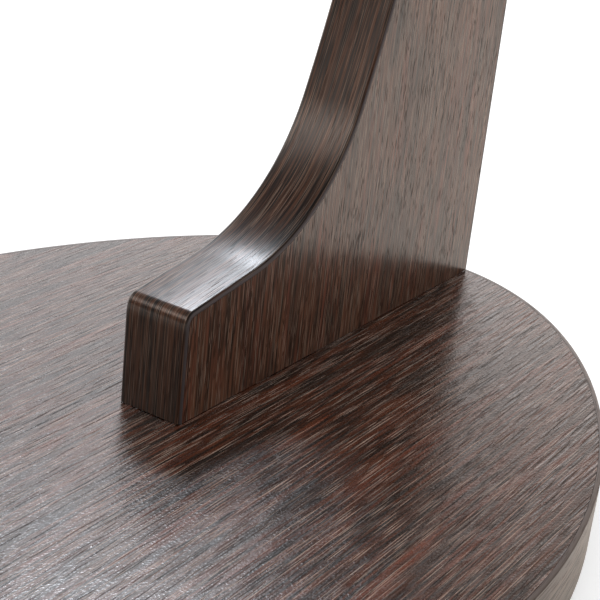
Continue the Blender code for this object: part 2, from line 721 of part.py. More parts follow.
def main():
    clear_scene()
    walnut = finish("walnut_foil", (0.085, 0.045, 0.033), 0.32)
    edging = finish("walnut_edging", (0.075, 0.045, 0.040), 0.30)
    steel = finish("zinc_plated_steel", (0.62, 0.62, 0.60), 0.35, 1.0)
    zinc = finish("zinc_alloy", (0.56, 0.55, 0.52), 0.40, 1.0)
    beech = finish("beech", (0.55, 0.37, 0.20), 0.60)
    black = finish("black_steel", (0.020, 0.020, 0.021), 0.38)
    cover = finish("brown_plastic", (0.050, 0.030, 0.022), 0.40)
    nylon = finish("black_nylon", (0.018, 0.018, 0.018), 0.50)
    rubber = finish("black_rubber", (0.016, 0.016, 0.017), 0.75)
    foam = finish("black_foam", (0.022, 0.022, 0.023), 0.90)

    pivot = Vector((0.0, COLUMN_FRONT, YOKE_HEIGHT))
    base_holes, upright_holes = bolt_pieces(steel, zinc, beech)
    foot_holes = foot_pieces(rubber, steel)
    base_pieces(walnut, edging, base_holes + [foot_holes])
    upright_pieces(walnut, edging, upright_holes, bearing_tool(pivot))
    bearing_pieces(pivot, nylon, cover)
    yoke_pieces(pivot, black, rubber, steel)
    pad_piece(foam)


main()
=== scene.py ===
# %% [markdown]
# The stand is three things: an egg-shaped base board, a sail-shaped upright board and a yoke that
# swivels at the top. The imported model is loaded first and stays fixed. This script gives every
# surface its finish, and makes the edge bands again as smooth surfaces with their own grain.

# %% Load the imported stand
import json
import math

import bmesh
import bpy
import numpy as np
from mathutils import Matrix, Vector


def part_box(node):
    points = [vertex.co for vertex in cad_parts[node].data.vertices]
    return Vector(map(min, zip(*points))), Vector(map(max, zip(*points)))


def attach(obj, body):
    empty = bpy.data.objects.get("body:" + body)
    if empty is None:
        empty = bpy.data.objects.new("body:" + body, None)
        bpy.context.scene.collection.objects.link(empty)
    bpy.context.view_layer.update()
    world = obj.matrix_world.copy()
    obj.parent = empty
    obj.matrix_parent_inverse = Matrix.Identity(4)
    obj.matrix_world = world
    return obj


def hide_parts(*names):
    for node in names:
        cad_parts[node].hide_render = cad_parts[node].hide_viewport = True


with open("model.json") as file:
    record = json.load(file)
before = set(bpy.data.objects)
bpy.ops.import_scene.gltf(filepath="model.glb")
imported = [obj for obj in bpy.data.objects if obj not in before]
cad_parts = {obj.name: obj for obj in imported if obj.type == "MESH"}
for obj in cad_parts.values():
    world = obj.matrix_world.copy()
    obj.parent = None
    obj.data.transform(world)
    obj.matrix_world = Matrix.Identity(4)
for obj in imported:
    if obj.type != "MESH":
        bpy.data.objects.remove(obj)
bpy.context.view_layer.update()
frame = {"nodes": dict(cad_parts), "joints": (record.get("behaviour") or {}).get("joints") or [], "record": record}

# %% [markdown]
# The photograph looks down on the foot of the stand from its front right. Its camera is placed by
# the angle it looks along, how far it looks down, how far it leans, and where it stands. The lens
# follows from the photograph's own focal length, given in pixels of its 600-pixel frame.

# %% Camera
LOOK_AZIMUTH = math.radians(31.3)
LOOK_DOWN = math.radians(22.4)
LEAN = math.radians(6.2)
CAMERA_PLACE = Vector((0.2661, -0.3653, 0.2566))
FOCAL_PIXELS = 1490.0
FRAME_PIXELS = 600.0
SENSOR_WIDTH = 36.0


def add_camera():
    """Right, up and back axes of a camera that looks down, then leans about its own axis."""
    level = Vector((-math.sin(LOOK_AZIMUTH), math.cos(LOOK_AZIMUTH), 0.0))
    ahead = level * math.cos(LOOK_DOWN) - Vector((0, 0, math.sin(LOOK_DOWN)))
    right = ahead.cross(Vector((0, 0, 1))).normalized()
    up = right.cross(ahead)
    leaned_right = right * math.cos(LEAN) + up * math.sin(LEAN)
    leaned_up = up * math.cos(LEAN) - right * math.sin(LEAN)
    turn = Matrix((leaned_right, leaned_up, -ahead)).transposed()
    data = bpy.data.cameras.new("camera")
    data.sensor_width = SENSOR_WIDTH
    data.lens = SENSOR_WIDTH * FOCAL_PIXELS / FRAME_PIXELS
    data.clip_start = 0.01
    camera = bpy.data.objects.new("camera", data)
    bpy.context.scene.collection.objects.link(camera)
    camera.matrix_world = Matrix.Translation(CAMERA_PLACE) @ turn.to_4x4()
    bpy.context.scene.camera = camera
    return camera


camera = add_camera()
print("lens", round(camera.data.lens, 1), "mm")

# %% [markdown]
# Small helpers keep the materials readable: one adds a node with its settings, the next wires two
# sockets. A group's sockets are made with interface.new_socket, so that its values can be set
# in each material that uses it.

# %% Node helpers


def add_node(tree, kind, **settings):
    node = tree.nodes.new("ShaderNode" + kind)
    for name, value in settings.items():
        setattr(node, name, value)
    return node


def feed(tree, source, target):
    """Wire a socket into another, or set the target's value where the source is a number."""
    if isinstance(source, bpy.types.NodeSocket):
        tree.links.new(source, target)
    else:
        target.default_value = source


def math_node(tree, operation, first, second=0.0, third=0.0, clamp=False):
    node = add_node(tree, "Math", operation=operation, use_clamp=clamp)
    for socket, value in zip(node.inputs, (first, second, third)):
        feed(tree, value, socket)
    return node.outputs[0]


def stretch(tree, vector, across, along, depth, shift=0.0):
    """Grain coordinates made finer across the grain than along it."""
    node = add_node(tree, "Mapping")
    feed(tree, vector, node.inputs["Vector"])
    node.inputs["Scale"].default_value = (across, along, depth)
    node.inputs["Location"].default_value = (shift, 0.7 * shift, 0.4 * shift)
    return node.outputs["Vector"]


def noise(tree, vector, detail=2.0, roughness=0.5, distortion=0.0):
    node = add_node(tree, "TexNoise")
    feed(tree, vector, node.inputs["Vector"])
    node.inputs["Scale"].default_value = 1.0
    node.inputs["Detail"].default_value = detail
    node.inputs["Roughness"].default_value = roughness
    node.inputs["Distortion"].default_value = distortion
    return node.outputs["Fac"]


def ramp(tree, value, low, high):
    """Smooth step of a value from 0 at low to 1 at high."""
    node = add_node(tree, "MapRange", interpolation_type='SMOOTHSTEP')
    feed(tree, value, node.inputs["Value"])
    feed(tree, low, node.inputs["From Min"])
    feed(tree, high, node.inputs["From Max"])
    return node.outputs["Result"]


def blend_colour(tree, factor, first, second, mode='MIX'):
    node = add_node(tree, "Mix", data_type='RGBA', blend_type=mode)
    feed(tree, factor, node.inputs["Factor"])
    for value, socket in ((first, node.inputs["A"]), (second, node.inputs["B"])):
        feed(tree, (*value, 1.0) if isinstance(value, tuple) else value, socket)
    return node.outputs["Result"]


# %% [markdown]
# The wood is a printed foil: brown figure that runs with the grain, reddish streaks, pale fibres
# and short dark pores. What makes it look like wood close up are thousands of thin strokes, each
# straight, narrow and tapered. A stretched noise can't give those, so a node group draws them:
# it cuts the surface into narrow columns and cells, and puts one stroke into some of the cells.

# %% Grain strokes


def new_group(name, inputs, outputs):
    tree = bpy.data.node_groups.new(name, "ShaderNodeTree")
    for label, kind, value in inputs:
        socket = tree.interface.new_socket(label, in_out='INPUT', socket_type="NodeSocket" + kind)
        if value is not None:
            socket.default_value = value
    for label, kind in outputs:
        tree.interface.new_socket(label, in_out='OUTPUT', socket_type="NodeSocket" + kind)
    return tree, tree.nodes.new("NodeGroupInput"), tree.nodes.new("NodeGroupOutput")


def white_noise(tree, x, y, z):
    """Three random values for a cell, as the sockets of a split colour."""
    cell = add_node(tree, "CombineXYZ")
    for value, socket in zip((x, y, z), cell.inputs):
        feed(tree, value, socket)
    white = add_node(tree, "TexWhiteNoise", noise_dimensions='3D')
    feed(tree, cell.outputs[0], white.inputs["Vector"])
    split = add_node(tree, "SeparateColor")
    feed(tree, white.outputs["Color"], split.inputs[0])
    return split.outputs


def make_stroke_group():
    """A mask of thin strokes along the grain: 1 in the middle of a stroke and 0 beside it.

    Columns run along the grain, Across of them to a metre. Each is cut into cells, Along of them
    to a metre, from a random start. A Share of the cells holds a stroke. With t from -1 to 1 along
    the cell, its half width is Width (1 - (t / length)^2), and it lies a random bit off the
    column's middle. Its strength is a random number from 0.4 to 1.
    """
    tree, given, result = new_group(
        "grain_strokes",
        [("Grain", "Vector", None), ("Across", "Float", 800.0), ("Along", "Float", 80.0),
         ("Share", "Float", 0.4), ("Width", "Float", 0.3), ("Seed", "Float", 0.0)],
        [("Mask", "Float")])
    split = add_node(tree, "SeparateXYZ")
    feed(tree, given.outputs["Grain"], split.inputs[0])
    side = math_node(tree, 'FLOOR', math_node(tree, 'MULTIPLY', split.outputs["Z"], 30.0))
    seed = math_node(tree, 'ADD', side, given.outputs["Seed"])
    x = math_node(tree, 'MULTIPLY', split.outputs["X"], given.outputs["Across"])
    column = math_node(tree, 'FLOOR', x)
    first = white_noise(tree, column, 0.5, seed)
    y = math_node(tree, 'MULTIPLY_ADD', split.outputs["Y"], given.outputs["Along"],
                  math_node(tree, 'MULTIPLY', first[0], 31.0))
    row = math_node(tree, 'FLOOR', y)
    chance = white_noise(tree, column, row, seed)
    held = math_node(tree, 'LESS_THAN', chance[0], given.outputs["Share"])
    length = math_node(tree, 'MULTIPLY_ADD', chance[1], 0.55, 0.45)
    t = math_node(tree, 'MULTIPLY_ADD', math_node(tree, 'FRACT', y), 2.0, -1.0)
    t = math_node(tree, 'DIVIDE', t, length)
    taper = math_node(tree, 'MAXIMUM', math_node(tree, 'MULTIPLY_ADD', math_node(
        tree, 'MULTIPLY', t, t), -1.0, 1.0), 0.0)
    half = math_node(tree, 'MULTIPLY', taper, given.outputs["Width"])
    shift = math_node(tree, 'MULTIPLY_ADD', chance[2], 0.5, 0.25)
    distance = math_node(tree, 'ABSOLUTE', math_node(
        tree, 'SUBTRACT', math_node(tree, 'FRACT', x), shift))
    mask = ramp(tree, distance, half, math_node(tree, 'MULTIPLY', half, 0.35))
    faint = math_node(tree, 'DIVIDE', chance[0], given.outputs["Share"])
    strength = math_node(tree, 'MULTIPLY_ADD', faint, -0.6, 1.0)
    mask = math_node(tree, 'MULTIPLY', mask, math_node(tree, 'MULTIPLY', held, strength))
    feed(tree, mask, result.inputs["Mask"])
    return tree


stroke_group = make_stroke_group()


def strokes(tree, grain, across, along, share, width, seed):
    node = add_node(tree, "Group", node_tree=stroke_group)
    values = {"Grain": grain, "Across": across, "Along": along, "Share": share, "Width": width,
              "Seed": seed}
    for label, value in values.items():
        feed(tree, value, node.inputs[label])
    return node.outputs["Mask"]


print("stroke group has", len(stroke_group.nodes), "nodes")

# %% [markdown]
# The wood group takes grain coordinates, X across the grain and Y along it. Broad noises choose
# between brown, reddish and dark wood, fine ones shade it, and strokes draw the pale fibres, the
# pores and the lines that are pressed into the foil. The same strokes make the height, so the
# relief falls where the colour says.

# %% Wood grain


def make_walnut_group():
    """Colour, coat, roughness and height of the foil, over grain coordinates in metres."""
    tree, given, result = new_group(
        "walnut_grain",
        [("Grain", "Vector", None), ("Dark", "Color", (0.010, 0.0055, 0.0045, 1)),
         ("Brown", "Color", (0.058, 0.0230, 0.0135, 1)), ("Red", "Color", (0.105, 0.030, 0.016, 1)),
         ("Pale", "Color", (0.220, 0.120, 0.080, 1)), ("Figure", "Float", 0.5),
         ("Redness", "Float", 0.8), ("Contrast", "Float", 0.5), ("Streaks", "Float", 0.4),
         ("Paleness", "Float", 0.5), ("Pores", "Float", 0.8), ("Gathering", "Float", 0.5),
         ("Lines", "Float", 0.5), ("Pebbles", "Float", 0.5), ("Coat", "Float", 1.0),
         ("Roughness", "Float", 0.3)],
        [("Color", "Color"), ("Coat", "Float"), ("Roughness", "Float"), ("Height", "Float")])
    grain = given.outputs["Grain"]
    sway = noise(tree, stretch(tree, grain, 24, 5, 10), detail=1.0)
    offset = add_node(tree, "CombineXYZ")
    feed(tree, math_node(tree, 'MULTIPLY_ADD', sway, 0.004, -0.002), offset.inputs["X"])
    bent = add_node(tree, "VectorMath", operation='ADD')
    feed(tree, grain, bent.inputs[0])
    feed(tree, offset.outputs[0], bent.inputs[1])
    wavy = bent.outputs[0]
    figure = noise(tree, stretch(tree, wavy, 95, 8, 40, 2.1), detail=3.0, roughness=0.55)
    reds = noise(tree, stretch(tree, wavy, 120, 6, 90, 7.7), detail=3.0, roughness=0.6)
    streaks = noise(tree, stretch(tree, wavy, 520, 11, 300, 4.4), detail=2.0, roughness=0.7)
    fibres = noise(tree, stretch(tree, wavy, 760, 26, 500, 1.3), detail=1.0, roughness=0.7)
    columns = noise(tree, stretch(tree, wavy, 180, 9, 200, 3.9), detail=1.0)
    pebbles = noise(tree, stretch(tree, grain, 1150, 850, 900, 8.4), detail=1.0)
    gather = ramp(tree, columns, 0.42, 0.60)
    spread = math_node(tree, 'SUBTRACT', 1.0, given.outputs["Gathering"])
    gather = math_node(tree, 'MULTIPLY_ADD', gather, given.outputs["Gathering"], spread)
    pore_share = math_node(tree, 'MULTIPLY', gather, 0.42)
    pore = strokes(tree, wavy, 620, 62, pore_share, 0.28, 3.0)
    short_pore = strokes(tree, wavy, 760, 130, pore_share, 0.32, 17.0)
    pale = strokes(tree, wavy, 700, 21, 0.50, 0.18, 29.0)
    short_pale = strokes(tree, wavy, 790, 46, 0.50, 0.22, 41.0)
    pressed = strokes(tree, wavy, 330, 32, 0.70, 0.40, 53.0)
    ridged = strokes(tree, wavy, 390, 38, 0.70, 0.38, 67.0)
    dark = math_node(tree, 'MULTIPLY', ramp(tree, figure, 0.50, 0.64), given.outputs["Figure"])
    red = math_node(tree, 'MULTIPLY', ramp(tree, reds, 0.46, 0.62), given.outputs["Redness"])
    streak = ramp(tree, streaks, 0.30, 0.70)
    fibre = ramp(tree, fibres, 0.30, 0.70)
    pore = math_node(tree, 'MULTIPLY', math_node(tree, 'MAXIMUM', pore, short_pore),
                     given.outputs["Pores"])
    pale = math_node(tree, 'MULTIPLY', math_node(tree, 'MAXIMUM', pale, short_pale),
                     given.outputs["Paleness"])
    pale = math_node(tree, 'MULTIPLY', pale, math_node(tree, 'MULTIPLY_ADD', dark, -0.7, 1.0))
    line = math_node(tree, 'MULTIPLY', pressed, given.outputs["Lines"])
    ridge = math_node(tree, 'MULTIPLY', ridged, given.outputs["Lines"])
    colour = blend_colour(tree, red, given.outputs["Brown"], given.outputs["Red"])
    colour = blend_colour(tree, dark, colour, given.outputs["Dark"])
    light = math_node(tree, 'MULTIPLY_ADD', streak, given.outputs["Streaks"], fibre)
    middle = math_node(tree, 'MULTIPLY_ADD', given.outputs["Streaks"], 0.5, 0.5)
    light = math_node(tree, 'SUBTRACT', light, middle)
    light = math_node(tree, 'MULTIPLY_ADD', light, given.outputs["Contrast"], 1.0)
    light = math_node(tree, 'MAXIMUM', light, 0.08)
    colour = blend_colour(tree, 1.0, colour, light, mode='MULTIPLY')
    colour = blend_colour(tree, pale, colour, given.outputs["Pale"])
    colour = blend_colour(tree, pore, colour, given.outputs["Dark"])
    feed(tree, colour, result.inputs["Color"])
    pebble = math_node(tree, 'MULTIPLY', ramp(tree, pebbles, 0.30, 0.70),
                       given.outputs["Pebbles"])
    coat = math_node(tree, 'MULTIPLY_ADD', pore, -0.9, 0.9)
    coat = math_node(tree, 'MULTIPLY_ADD', pebble, 0.5, coat)
    coat = math_node(tree, 'MULTIPLY', coat, given.outputs["Coat"], clamp=True)
    feed(tree, coat, result.inputs["Coat"])
    rough = math_node(tree, 'MULTIPLY_ADD', pore, 0.40, given.outputs["Roughness"])
    rough = math_node(tree, 'MULTIPLY_ADD', pebble, -0.10, rough)
    feed(tree, rough, result.inputs["Roughness"])
    height = math_node(tree, 'MULTIPLY_ADD', pebble, 0.14, math_node(tree, 'MULTIPLY', pale, 0.2))
    height = math_node(tree, 'MULTIPLY_ADD', pore, -0.4, height)
    height = math_node(tree, 'MULTIPLY_ADD', line, -1.1, height)
    height = math_node(tree, 'MULTIPLY_ADD', ridge, 1.1, height)
    feed(tree, height, result.inputs["Height"])
    return tree


walnut_group = make_walnut_group()
print("walnut group has", len(walnut_group.nodes), "nodes")

# %% [markdown]
# One function makes each walnut finish: the base's grain runs front to back, the upright's runs
# up, and the edge band's follows the band, so the three only differ in where their grain
# coordinates come from. A clear coat gives the foil its sheen, which grows at a grazing view.

# %% Walnut finishes
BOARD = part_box("base_board")[1].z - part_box("base_board")[0].z
BAND = 0.0015
BASE_ROUND = 0.0004
UPRIGHT_ROUND = 0.0013
LAP = 0.0002
LAP_DROP = 0.00003


def half_girth(rounding):
    """Half the way round a band's section: its face, a quarter-round and the flat beyond it."""
    return BOARD / 2 - rounding + math.pi / 2 * rounding + BAND + LAP - rounding


def new_material(name):
    made = bpy.data.materials.new(name)
    made.use_nodes = True
    return made, made.node_tree, made.node_tree.nodes["Principled BSDF"]


def make_walnut(name, coordinates, turn=(0, 0, 0), across=1.0, along=1.0, ior=1.5, level=0.5,
                coat_roughness=0.16, coat_ior=1.7, bump=0.0001, core=None, press=None, **values):
    """A walnut foil. across and along stretch its grain, and values set the group's inputs.

    A core (colour, gloss, middle, low, high) is the bare plastic of an edge band, which shows where
    U is further from the middle of the strip than from low to high. It keeps gloss of the coat.
    A press (low, high, least) lets the pressed lines grow from a least share at X = low to full
    depth at X = high.
    """
    made, tree, shader = new_material(name)
    source = add_node(tree, "TexCoord")
    turned = add_node(tree, "Mapping")
    feed(tree, source.outputs[coordinates], turned.inputs["Vector"])
    turned.inputs["Rotation"].default_value = [math.radians(angle) for angle in turn]
    scaled = add_node(tree, "Mapping")
    feed(tree, turned.outputs["Vector"], scaled.inputs["Vector"])
    scaled.inputs["Scale"].default_value = (across, along, 1.0)
    wood = add_node(tree, "Group", node_tree=walnut_group)
    feed(tree, scaled.outputs["Vector"], wood.inputs["Grain"])
    for label, value in values.items():
        wood.inputs[label].default_value = (*value, 1) if isinstance(value, tuple) else value
    colour, coat = wood.outputs["Color"], wood.outputs["Coat"]
    split = add_node(tree, "SeparateXYZ")
    feed(tree, source.outputs[coordinates], split.inputs[0])
    if press is not None:
        grown = ramp(tree, split.outputs["X"], press[0], press[1])
        depth = math_node(tree, 'MULTIPLY_ADD', grown, 1.0 - press[2], press[2])
        depth = math_node(tree, 'MULTIPLY', depth, values["Lines"])
        feed(tree, depth, wood.inputs["Lines"])
    if core is not None:
        away = math_node(tree, 'SUBTRACT', split.outputs["X"], core[2])
        bare = ramp(tree, math_node(tree, 'ABSOLUTE', away), core[3], core[4])
        colour = blend_colour(tree, bare, colour, core[0])
        kept = math_node(tree, 'MULTIPLY_ADD', bare, core[1] - 1.0, 1.0)
        coat = math_node(tree, 'MULTIPLY', coat, kept)
    feed(tree, colour, shader.inputs["Base Color"])
    feed(tree, coat, shader.inputs["Coat Weight"])
    feed(tree, wood.outputs["Roughness"], shader.inputs["Roughness"])
    relief = add_node(tree, "Bump")
    relief.inputs["Strength"].default_value = 1.0
    relief.inputs["Distance"].default_value = bump
    feed(tree, wood.outputs["Height"], relief.inputs["Height"])
    feed(tree, relief.outputs["Normal"], shader.inputs["Normal"])
    shader.inputs["IOR"].default_value = ior
    shader.inputs["Specular IOR Level"].default_value = level
    shader.inputs["Coat Roughness"].default_value = coat_roughness
    shader.inputs["Coat IOR"].default_value = coat_ior
    return made


base_walnut = make_walnut("base_walnut", "Object", across=1.3, along=1.15, ior=1.9,
                          coat_roughness=0.24, coat_ior=2.0, bump=0.00022,
                          press=(-0.13, 0.03, 0.4),
                          Brown=(0.047, 0.0122, 0.0044), Red=(0.095, 0.020, 0.008),
                          Pale=(0.460, 0.330, 0.262), Dark=(0.004, 0.002, 0.001), Figure=0.8,
                          Redness=0.45, Contrast=2.1, Streaks=0.35, Paleness=0.9, Pores=0.5,
                          Gathering=0.4, Lines=1.0, Pebbles=1.0, Coat=0.25, Roughness=0.29)
upright_walnut = make_walnut("upright_walnut", "Object", turn=(-90, 90, 0), across=1.35, along=1.7,
                             level=0.3, coat_roughness=0.21, bump=0.00004,
                             Brown=(0.100, 0.039, 0.020), Red=(0.135, 0.034, 0.018),
                             Pale=(0.450, 0.345, 0.265), Dark=(0.020, 0.010, 0.006), Figure=0.5,
                             Redness=0.6, Contrast=1.4, Streaks=0.35, Paleness=0.75, Pores=1.0,
                             Gathering=0.82, Lines=0.2, Pebbles=0.3, Coat=0.80, Roughness=0.34)
band_values = dict(across=1.9, along=0.9, level=0.2, coat_roughness=0.30, bump=0.00004,
                   Brown=(0.040, 0.0140, 0.0054), Pale=(0.380, 0.255, 0.182),
                   Dark=(0.004, 0.002, 0.001), Figure=0.12, Redness=0.0, Contrast=3.4,
                   Streaks=0.2, Paleness=0.7, Pores=0.65, Gathering=0.0, Lines=0.4, Pebbles=0.0,
                   Coat=0.84, Roughness=0.28)
base_edging = make_walnut("base_edging", "UV", **band_values, core=(
    (0.090, 0.066, 0.056), 1.0, half_girth(BASE_ROUND), 0.0117, 0.0120))
upright_edging = make_walnut("upright_edging", "UV", **band_values, core=(
    (0.092, 0.074, 0.074), 0.3, half_girth(UPRIGHT_ROUND), 0.0121, 0.0124))

# %% [markdown]
# The other parts are plain hardware: zinc-plated steel with a fine brushed streak, black powder
# coat with its orange-peel skin, moulded rubber and nylon with a matte grain, beech dowels. One
# function makes them all from a colour, its variation, a roughness and the scale of its grain.

# %% Hardware finishes


def make_hardware(name, colour, spread, roughness, metallic=0.0, grain=900.0, bump=0.00003,
                  stretch_by=(1, 1, 1)):
    """A colour that varies by a noise, with the same noise in its roughness and its height."""
    made, tree, shader = new_material(name)
    source = add_node(tree, "TexCoord").outputs["Object"]
    fine = noise(tree, stretch(tree, source, *[grain * s for s in stretch_by]), detail=3.0)
    broad = noise(tree, stretch(tree, source, *[grain / 12 * s for s in stretch_by]), detail=2.0)
    mixed = math_node(tree, 'MULTIPLY_ADD', fine, 0.5, math_node(tree, 'MULTIPLY', broad, 0.5))
    low = tuple(channel * (1 - spread) for channel in colour)
    high = tuple(min(1.0, channel * (1 + spread)) for channel in colour)
    feed(tree, blend_colour(tree, mixed, low, high), shader.inputs["Base Color"])
    rough = math_node(tree, 'MULTIPLY_ADD', mixed, 0.16, roughness - 0.08, clamp=True)
    feed(tree, rough, shader.inputs["Roughness"])
    shader.inputs["Metallic"].default_value = metallic
    relief = add_node(tree, "Bump")
    relief.inputs["Strength"].default_value = 0.5
    relief.inputs["Distance"].default_value = bump
    feed(tree, fine, relief.inputs["Height"])
    feed(tree, relief.outputs["Normal"], shader.inputs["Normal"])
    return made


finishes = {
    "zinc_plated_steel": make_hardware("plated_steel", (0.62, 0.62, 0.60), 0.12, 0.33, 1.0, 700),
    "zinc_alloy": make_hardware("zinc_alloy", (0.56, 0.55, 0.52), 0.12, 0.42, 1.0, 500),
    "beech": make_hardware("beech", (0.55, 0.37, 0.20), 0.25, 0.60, 0.0, 900,
                           stretch_by=(1, 1, 0.08)),
    "black_steel": make_hardware("black_powder_coat", (0.022, 0.022, 0.023), 0.30, 0.40, 0.0, 1400),
    "brown_plastic": make_hardware("brown_plastic", (0.055, 0.032, 0.024), 0.20, 0.42, 0.0, 1600),
    "black_nylon": make_hardware("black_nylon", (0.020, 0.020, 0.020), 0.25, 0.52, 0.0, 1800),
    "black_rubber": make_hardware("black_rubber", (0.018, 0.018, 0.019), 0.35, 0.72, 0.0, 1500,
                                  0.00005),
    "black_foam": make_hardware("black_foam", (0.024, 0.024, 0.025), 0.50, 0.90, 0.0, 2600,
                                0.00018),
}
finishes["walnut_foil"] = upright_walnut
finishes["walnut_edging"] = upright_edging
slot_of = {entry["node"]: entry["material_slot"] for entry in frame["record"]["subparts"]}
for name, node in frame["nodes"].items():
    node.data.materials.clear()
    node.data.materials.append(finishes[slot_of[name]])
frame["nodes"]["base_board"].data.materials[0] = base_walnut
print("finishes:", len(finishes), "for", len(frame["nodes"]), "nodes")

# %% [markdown]
# Every new piece is a grid of points, worked out by numpy as a whole. Two helpers turn such a grid
# into a mesh: one numbers its four-sided faces, the other closes the seams and poles, makes the
# faces point outwards, and hands the piece to the body that it rides on.

# %% Grid helpers


def grid_faces(rows, columns, closed):
    """Corner numbers of the faces between neighbouring rows. Columns always run all the way round."""
    span = rows if closed else rows - 1
    row = np.repeat(np.arange(span), columns)
    column = np.tile(np.arange(columns), span)
    after = (row + 1) % rows * columns
    beside = (column + 1) % columns
    here = row * columns
    return np.stack([here + column, here + beside, after + beside, after + column], axis=-1)


def tidy_mesh(mesh, sharp=40):
    """Merge the points of seams and poles, turn the faces outwards and smooth the shading."""
    shape = bmesh.new()
    shape.from_mesh(mesh)
    bmesh.ops.remove_doubles(shape, verts=shape.verts, dist=1e-7)
    bmesh.ops.recalc_face_normals(shape, faces=shape.faces)
    shape.to_mesh(mesh)
    shape.free()
    mesh.shade_smooth()
    mesh.set_sharp_from_angle(angle=math.radians(sharp))
    return mesh


def link_piece(name, mesh, body, nodes, slot):
    """Put a mesh into the scene as a piece that rides on a body and stands for CAD nodes."""
    if not mesh.materials:
        mesh.materials.append(finishes[slot])
    piece = bpy.data.objects.new(name, mesh)
    bpy.context.scene.collection.objects.link(piece)
    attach(piece, body)
    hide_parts(*nodes)
    print(name, "has", len(mesh.polygons), "faces")
    return piece


def cut_away(mesh, *tools):
    """The mesh with each tool's solid taken out of it, by Boolean modifiers that are applied."""
    work = bpy.data.objects.new("work", mesh)
    bpy.context.scene.collection.objects.link(work)
    bodies = []
    for tool in tools:
        solid = bpy.data.objects.new("tool", tool)
        bpy.context.scene.collection.objects.link(solid)
        change = work.modifiers.new("cut", 'BOOLEAN')
        change.operation = 'DIFFERENCE'
        change.object = solid
        bodies.append(solid)
    shown = work.evaluated_get(bpy.context.evaluated_depsgraph_get())
    result = bpy.data.meshes.new_from_object(shown)
    for thing in [work] + bodies:
        bpy.data.objects.remove(thing)
    return result


# %% [markdown]
# Rods, tubes, bushes, feet and screws are all turned shapes. Stacked cylinders would leave hard
# corners that no moulded or rolled part has. So each is a profile of lengths and radii whose
# corners are softened, turned about a line. The line may bend, which also makes the yoke's rod.

# %% Turned shapes
TURN_SIDES = 48
THREAD_STEPS = 7
HEX_TURN = math.pi / 3


def soften(profile, reach, steps=5, closed=False):
    """Each corner C becomes (1-t)^2 A + 2 t (1-t) C + t^2 B, a short parabola. A and B lie on the
    two sides that meet at C, at the reach from it, or half way along a side that is shorter."""
    corner = np.asarray(profile, float)
    ends = []
    for neighbour in (np.roll(corner, 1, axis=0), np.roll(corner, -1, axis=0)):
        side = neighbour - corner
        length = np.maximum(np.linalg.norm(side[:, :2], axis=1, keepdims=True), 1e-9)
        ends.append(corner + side * np.minimum(reach / length, 0.5))
    t = np.linspace(0, 1, steps)[:, None, None]
    curve = (1 - t) ** 2 * ends[0] + 2 * t * (1 - t) * corner + t ** 2 * ends[1]
    curve = curve.transpose(1, 0, 2)
    if closed:
        return curve.reshape(-1, corner.shape[1])
    return np.concatenate([corner[:1], curve[1:-1].reshape(-1, corner.shape[1]), corner[-1:]])


def refine(profile, step, low=0.0, high=0.0, fine=1.0):
    """The same profile with its points no further apart than a step, or than fine where its
    length lies between low and high."""
    length = np.concatenate([[0], np.cumsum(np.linalg.norm(np.diff(profile[:, :2], axis=0), axis=1))])
    extra = np.arange(0, length[-1], fine)
    place = np.interp(extra, length, profile[:, 0])
    extra = extra[(place > low) & (place < high)]
    at = np.concatenate([length, np.arange(0, length[-1], step), extra])
    at = np.unique(np.round(at, 9))
    return np.stack([np.interp(at, length, column) for column in profile.T], axis=-1)


def straight(origin, axis):
    """A straight line for turned shapes: its point, side and up vectors at each length."""
    axis = np.array(axis, float)
    side = np.array([1.0, 0.0, 0.0])

    def line(s):
        shape = (len(s), 3)
        point = np.array(origin, float) + s[:, None] * axis
        return point, np.broadcast_to(side, shape), np.broadcast_to(np.cross(axis, side), shape)

    return line


def turned(name, profile, line, closed=False, thread=None, press=None, step=0.002):
    """A mesh of rings round a line: length s and radius r from the profile, angle a all round.

    A third number in the profile, from 0 to 1, makes a ring six-sided: r is then the distance to
    a side's middle, and grows by 1 / cos of the angle from it. A thread (low, high, pitch, depth)
    takes off depth (1 - cos(2 pi s / pitch - a)) / 2. A press moves points along the line.
    """
    rings = np.asarray(profile, float)
    if closed:
        rings = refine(np.concatenate([rings, rings[:1]]), step)[:-1]
    elif thread is None:
        rings = refine(rings, step)
    else:
        rings = refine(rings, step, thread[0], thread[1], thread[2] / THREAD_STEPS)
    a = np.linspace(0, 2 * math.pi, TURN_SIDES, endpoint=False)[None, :]
    s = np.repeat(rings[:, :1], TURN_SIDES, axis=1)
    r = np.repeat(rings[:, 1:2], TURN_SIDES, axis=1)
    if rings.shape[1] > 2:
        r = r * (1 + rings[:, 2:] * (1 / np.cos(a % HEX_TURN - HEX_TURN / 2) - 1))
    if thread is not None:
        low, high, pitch, depth = thread
        within = np.clip((s - low) / pitch, 0, 1) * np.clip((high - s) / pitch, 0, 1)
        within = within * (r > 0.5 * r.max())
        r = r - depth * within * (1 - np.cos(2 * math.pi * s / pitch - a)) / 2
    if press is not None:
        s = s + press(r, a)
    point, side, up = line(s.ravel())
    ring = np.cos(a) * r, np.sin(a) * r
    points = point + ring[0].reshape(-1, 1) * side + ring[1].reshape(-1, 1) * up
    mesh = bpy.data.meshes.new(name)
    mesh.from_pydata(points.tolist(), [], grid_faces(len(rings), TURN_SIDES, closed).tolist())
    return tidy_mesh(mesh)


# %% [markdown]
# A band is glued round each board. On the real stand it is a strip with rounded arrises, so here
# it is a rounded cross section carried along the board's outline. Its UV map holds real lengths,
# across the strip and along it, which lets the grain follow the band round its bends. The
# yoke's shank passes through the upright's band twice, so a bore and a wider well are cut in it.

# %% Edge band helper


